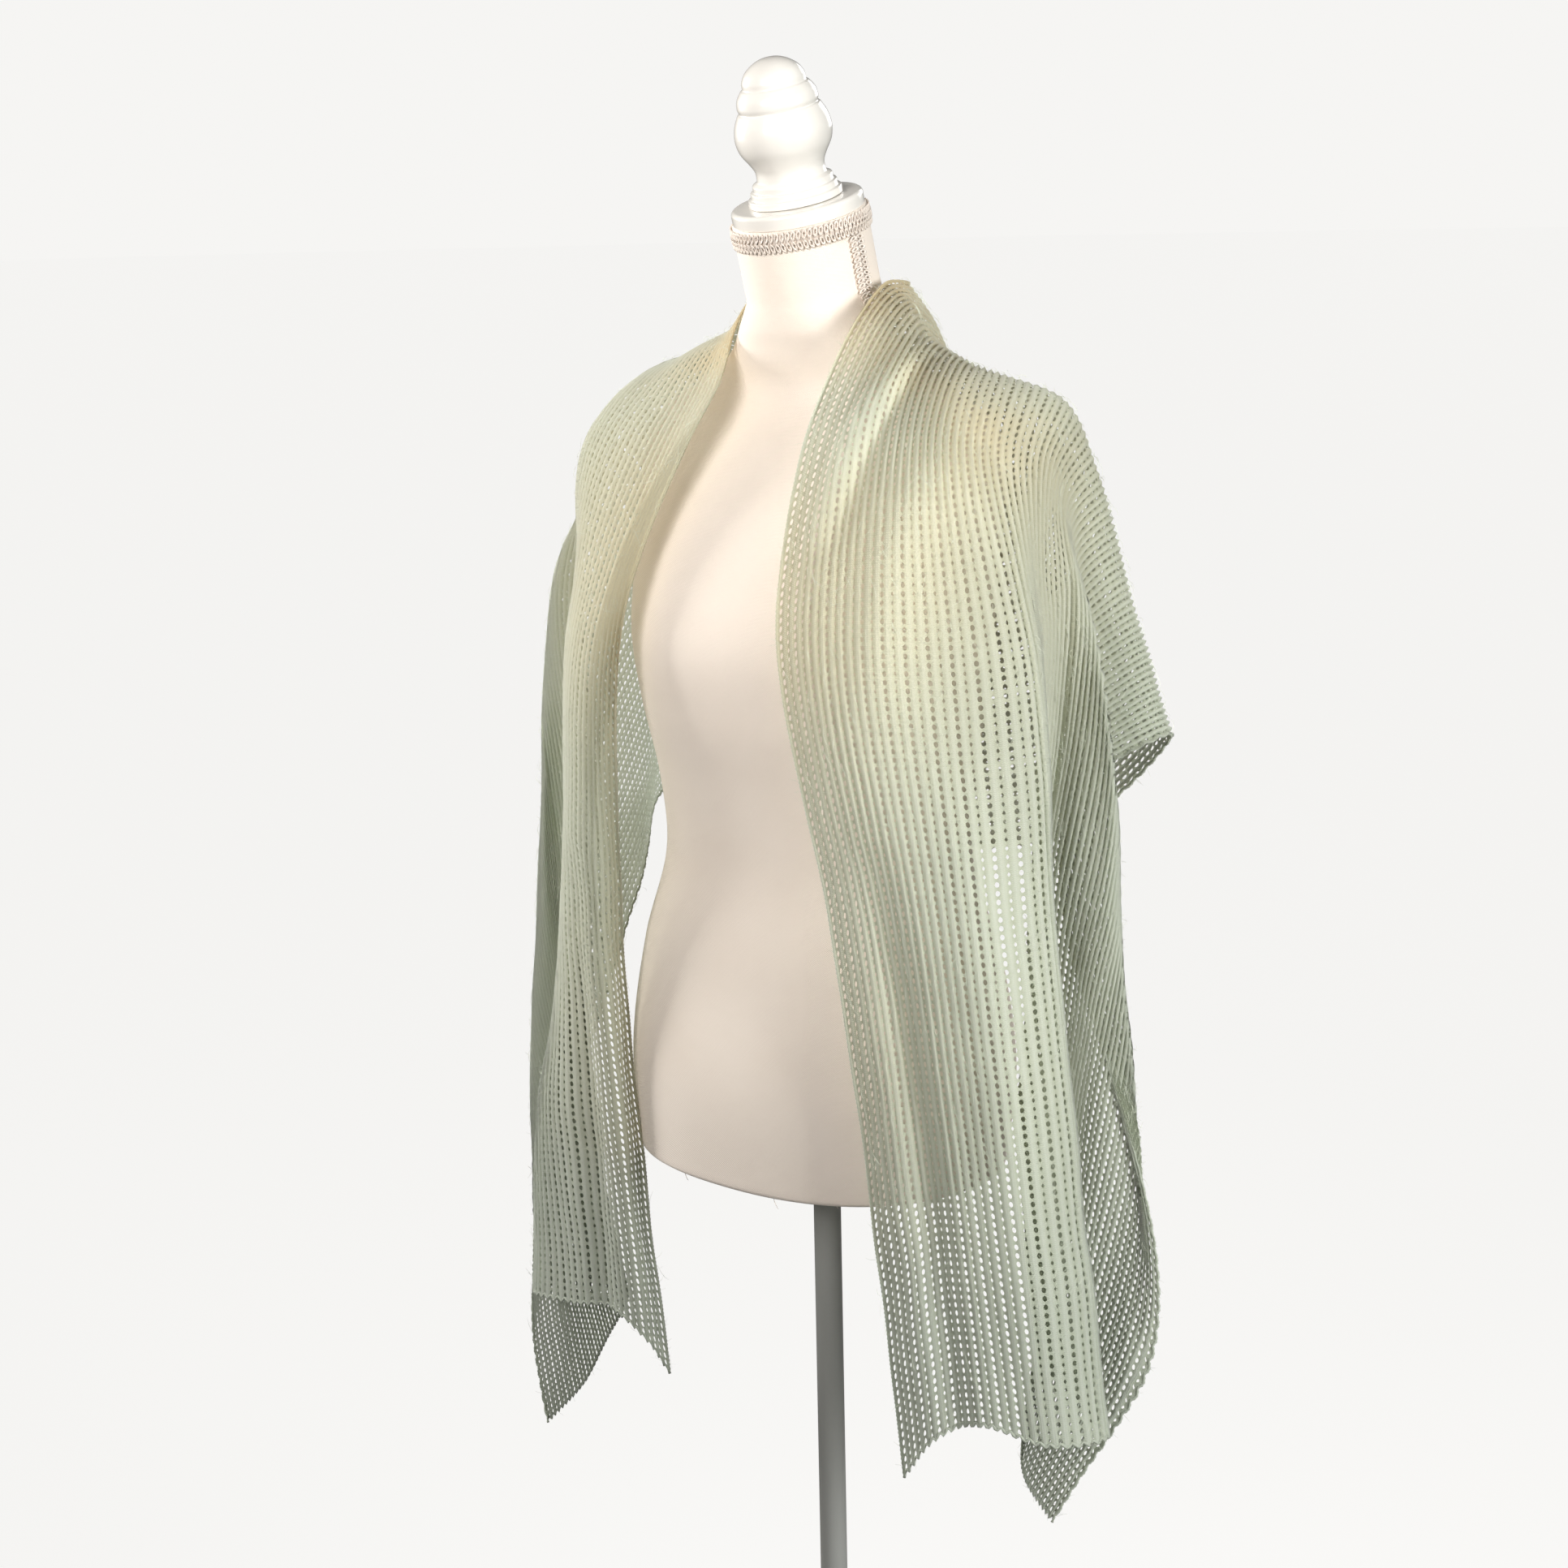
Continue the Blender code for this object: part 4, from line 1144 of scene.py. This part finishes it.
def strips(name, paths, width):
    """Narrow strips along many short paths, an array of hairs, steps and places."""
    hairs, steps = paths.shape[:2]
    bm = bmesh.new()
    bmesh.ops.create_grid(bm, x_segments=steps - 1, y_segments=2 * hairs - 1, size=0.5)
    gaps = [face for face in bm.faces
            if int((face.calc_center_median().y + 0.5) * (2 * hairs - 1)) % 2 == 1]
    bmesh.ops.delete(bm, geom=gaps, context="FACES")
    mesh = to_mesh(name, bm)
    flat = np.empty(len(mesh.vertices) * 3)
    mesh.vertices.foreach_get("co", flat)
    flat = flat.reshape(-1, 3)
    step = np.rint((flat[:, 0] + 0.5) * (steps - 1)).astype(int)
    column = np.rint((flat[:, 1] + 0.5) * (2 * hairs - 1)).astype(int)
    hair, edge = column // 2, column % 2 - 0.5
    heading = np.gradient(paths, axis=1)
    aside = np.cross(heading, np.roll(heading, 1, axis=2))
    aside /= np.linalg.norm(aside, axis=2, keepdims=True) + 1e-12
    taper = np.sin(math.pi * (step + 0.6) / (steps + 0.2))
    here = paths[hair, step] + aside[hair, step] * (edge * width * taper)[:, None]
    mesh.vertices.foreach_set("co", here.ravel())
    mesh.update()
    return mesh


print("each hair", round(HAIR_WIDTH * 1000, 2), "mm wide")

# %% Halo on both sides and on the back
HAIR_TONE = (0.72, 0.76, 0.66)
HAIR_TONE_DEEP = (0.60, 0.62, 0.48)
halo = finish("mohair_halo", HAIR_TONE, 0.9, sheen=0.4)
hair_places = halo.node_tree.nodes.new("ShaderNodeTexCoord").outputs["Object"]
hair_mix = noise_value(halo.node_tree, hair_places, 60.0)
halo.node_tree.links.new(mix_colour(halo.node_tree, hair_mix, HAIR_TONE_DEEP, HAIR_TONE),
                         halo.node_tree.nodes["Principled BSDF"].inputs["Base Color"])
bump_into(halo, noise_value(halo.node_tree, hair_places, 900.0), 0.3, 0.0002)
chance = np.random.default_rng(7)


def halo_over(name, along_range, count):
    """Loose hairs that leave the cloth in all directions, between two measures along."""
    grid_along = np.linspace(*along_range, 240)
    grid_across = np.linspace(0.0, STOLE_WIDTH, 120)
    places, normals = both_sides(grid_along, grid_across)
    at = (chance.integers(0, 240, count), chance.integers(0, 120, count))
    root, up_way = places[at], normals[at] * chance.choice([-1.0, 1.0], count)[:, None]
    root = root + chance.normal(0.0, 0.0012, (count, 3))
    wander = chance.normal(0.0, 1.0, (count, 3))
    wander -= up_way * np.sum(wander * up_way, axis=1)[:, None]
    wander /= np.linalg.norm(wander, axis=1, keepdims=True)
    length = chance.uniform(*HAIR_LENGTH, count)[:, None]
    rise = chance.uniform(*HAIR_RISE, count)[:, None]
    curl = np.cross(up_way, wander) * chance.normal(0.0, 0.25, (count, 1)) * length
    paths = []
    for n in range(HAIR_STEPS + 1):
        share = n / HAIR_STEPS
        paths.append(root + wander * length * (share - 0.5) + up_way * rise * (4 * share * (1 - share) * 0.6 + 0.6 * share)
                     + curl * share * share)
    return add_piece(name, strips(name, np.stack(paths, axis=1), HAIR_WIDTH), halo)


halo_over("halo_left", (BACK_REACH, STOLE_HALF_LENGTH), HAIRS_A_SIDE)
halo_over("halo_right", (-STOLE_HALF_LENGTH, -BACK_REACH), HAIRS_A_SIDE)
halo_over("halo_back", (-BACK_REACH, BACK_REACH), HAIRS_ON_THE_BACK)

# %% Thread ends at the form's hem
THREADS = 14
THREAD_LENGTH = (0.004, 0.010)
threads = []
for n in range(THREADS):
    angle = chance.uniform(0.0, 2.0 * math.pi)
    x, y = torso_radius(angle, TORSO_RINGS[0][1] - HEM_ROUND, TORSO_RINGS[0][3 if math.sin(angle) > 0 else 2] - HEM_ROUND)
    length = chance.uniform(*THREAD_LENGTH)
    lean = chance.normal(0.0, 0.35, 2)
    threads.append([(x + lean[0] * length * s * s, y + lean[1] * length * s * s, FORM_HEM_Z + 0.002 - length * s)
                    for s in (0.0, 0.25, 0.5, 0.75, 1.0)])
hem_threads = add_piece("hem_threads", strips("hem_threads", np.array(threads), 0.0005), jersey)
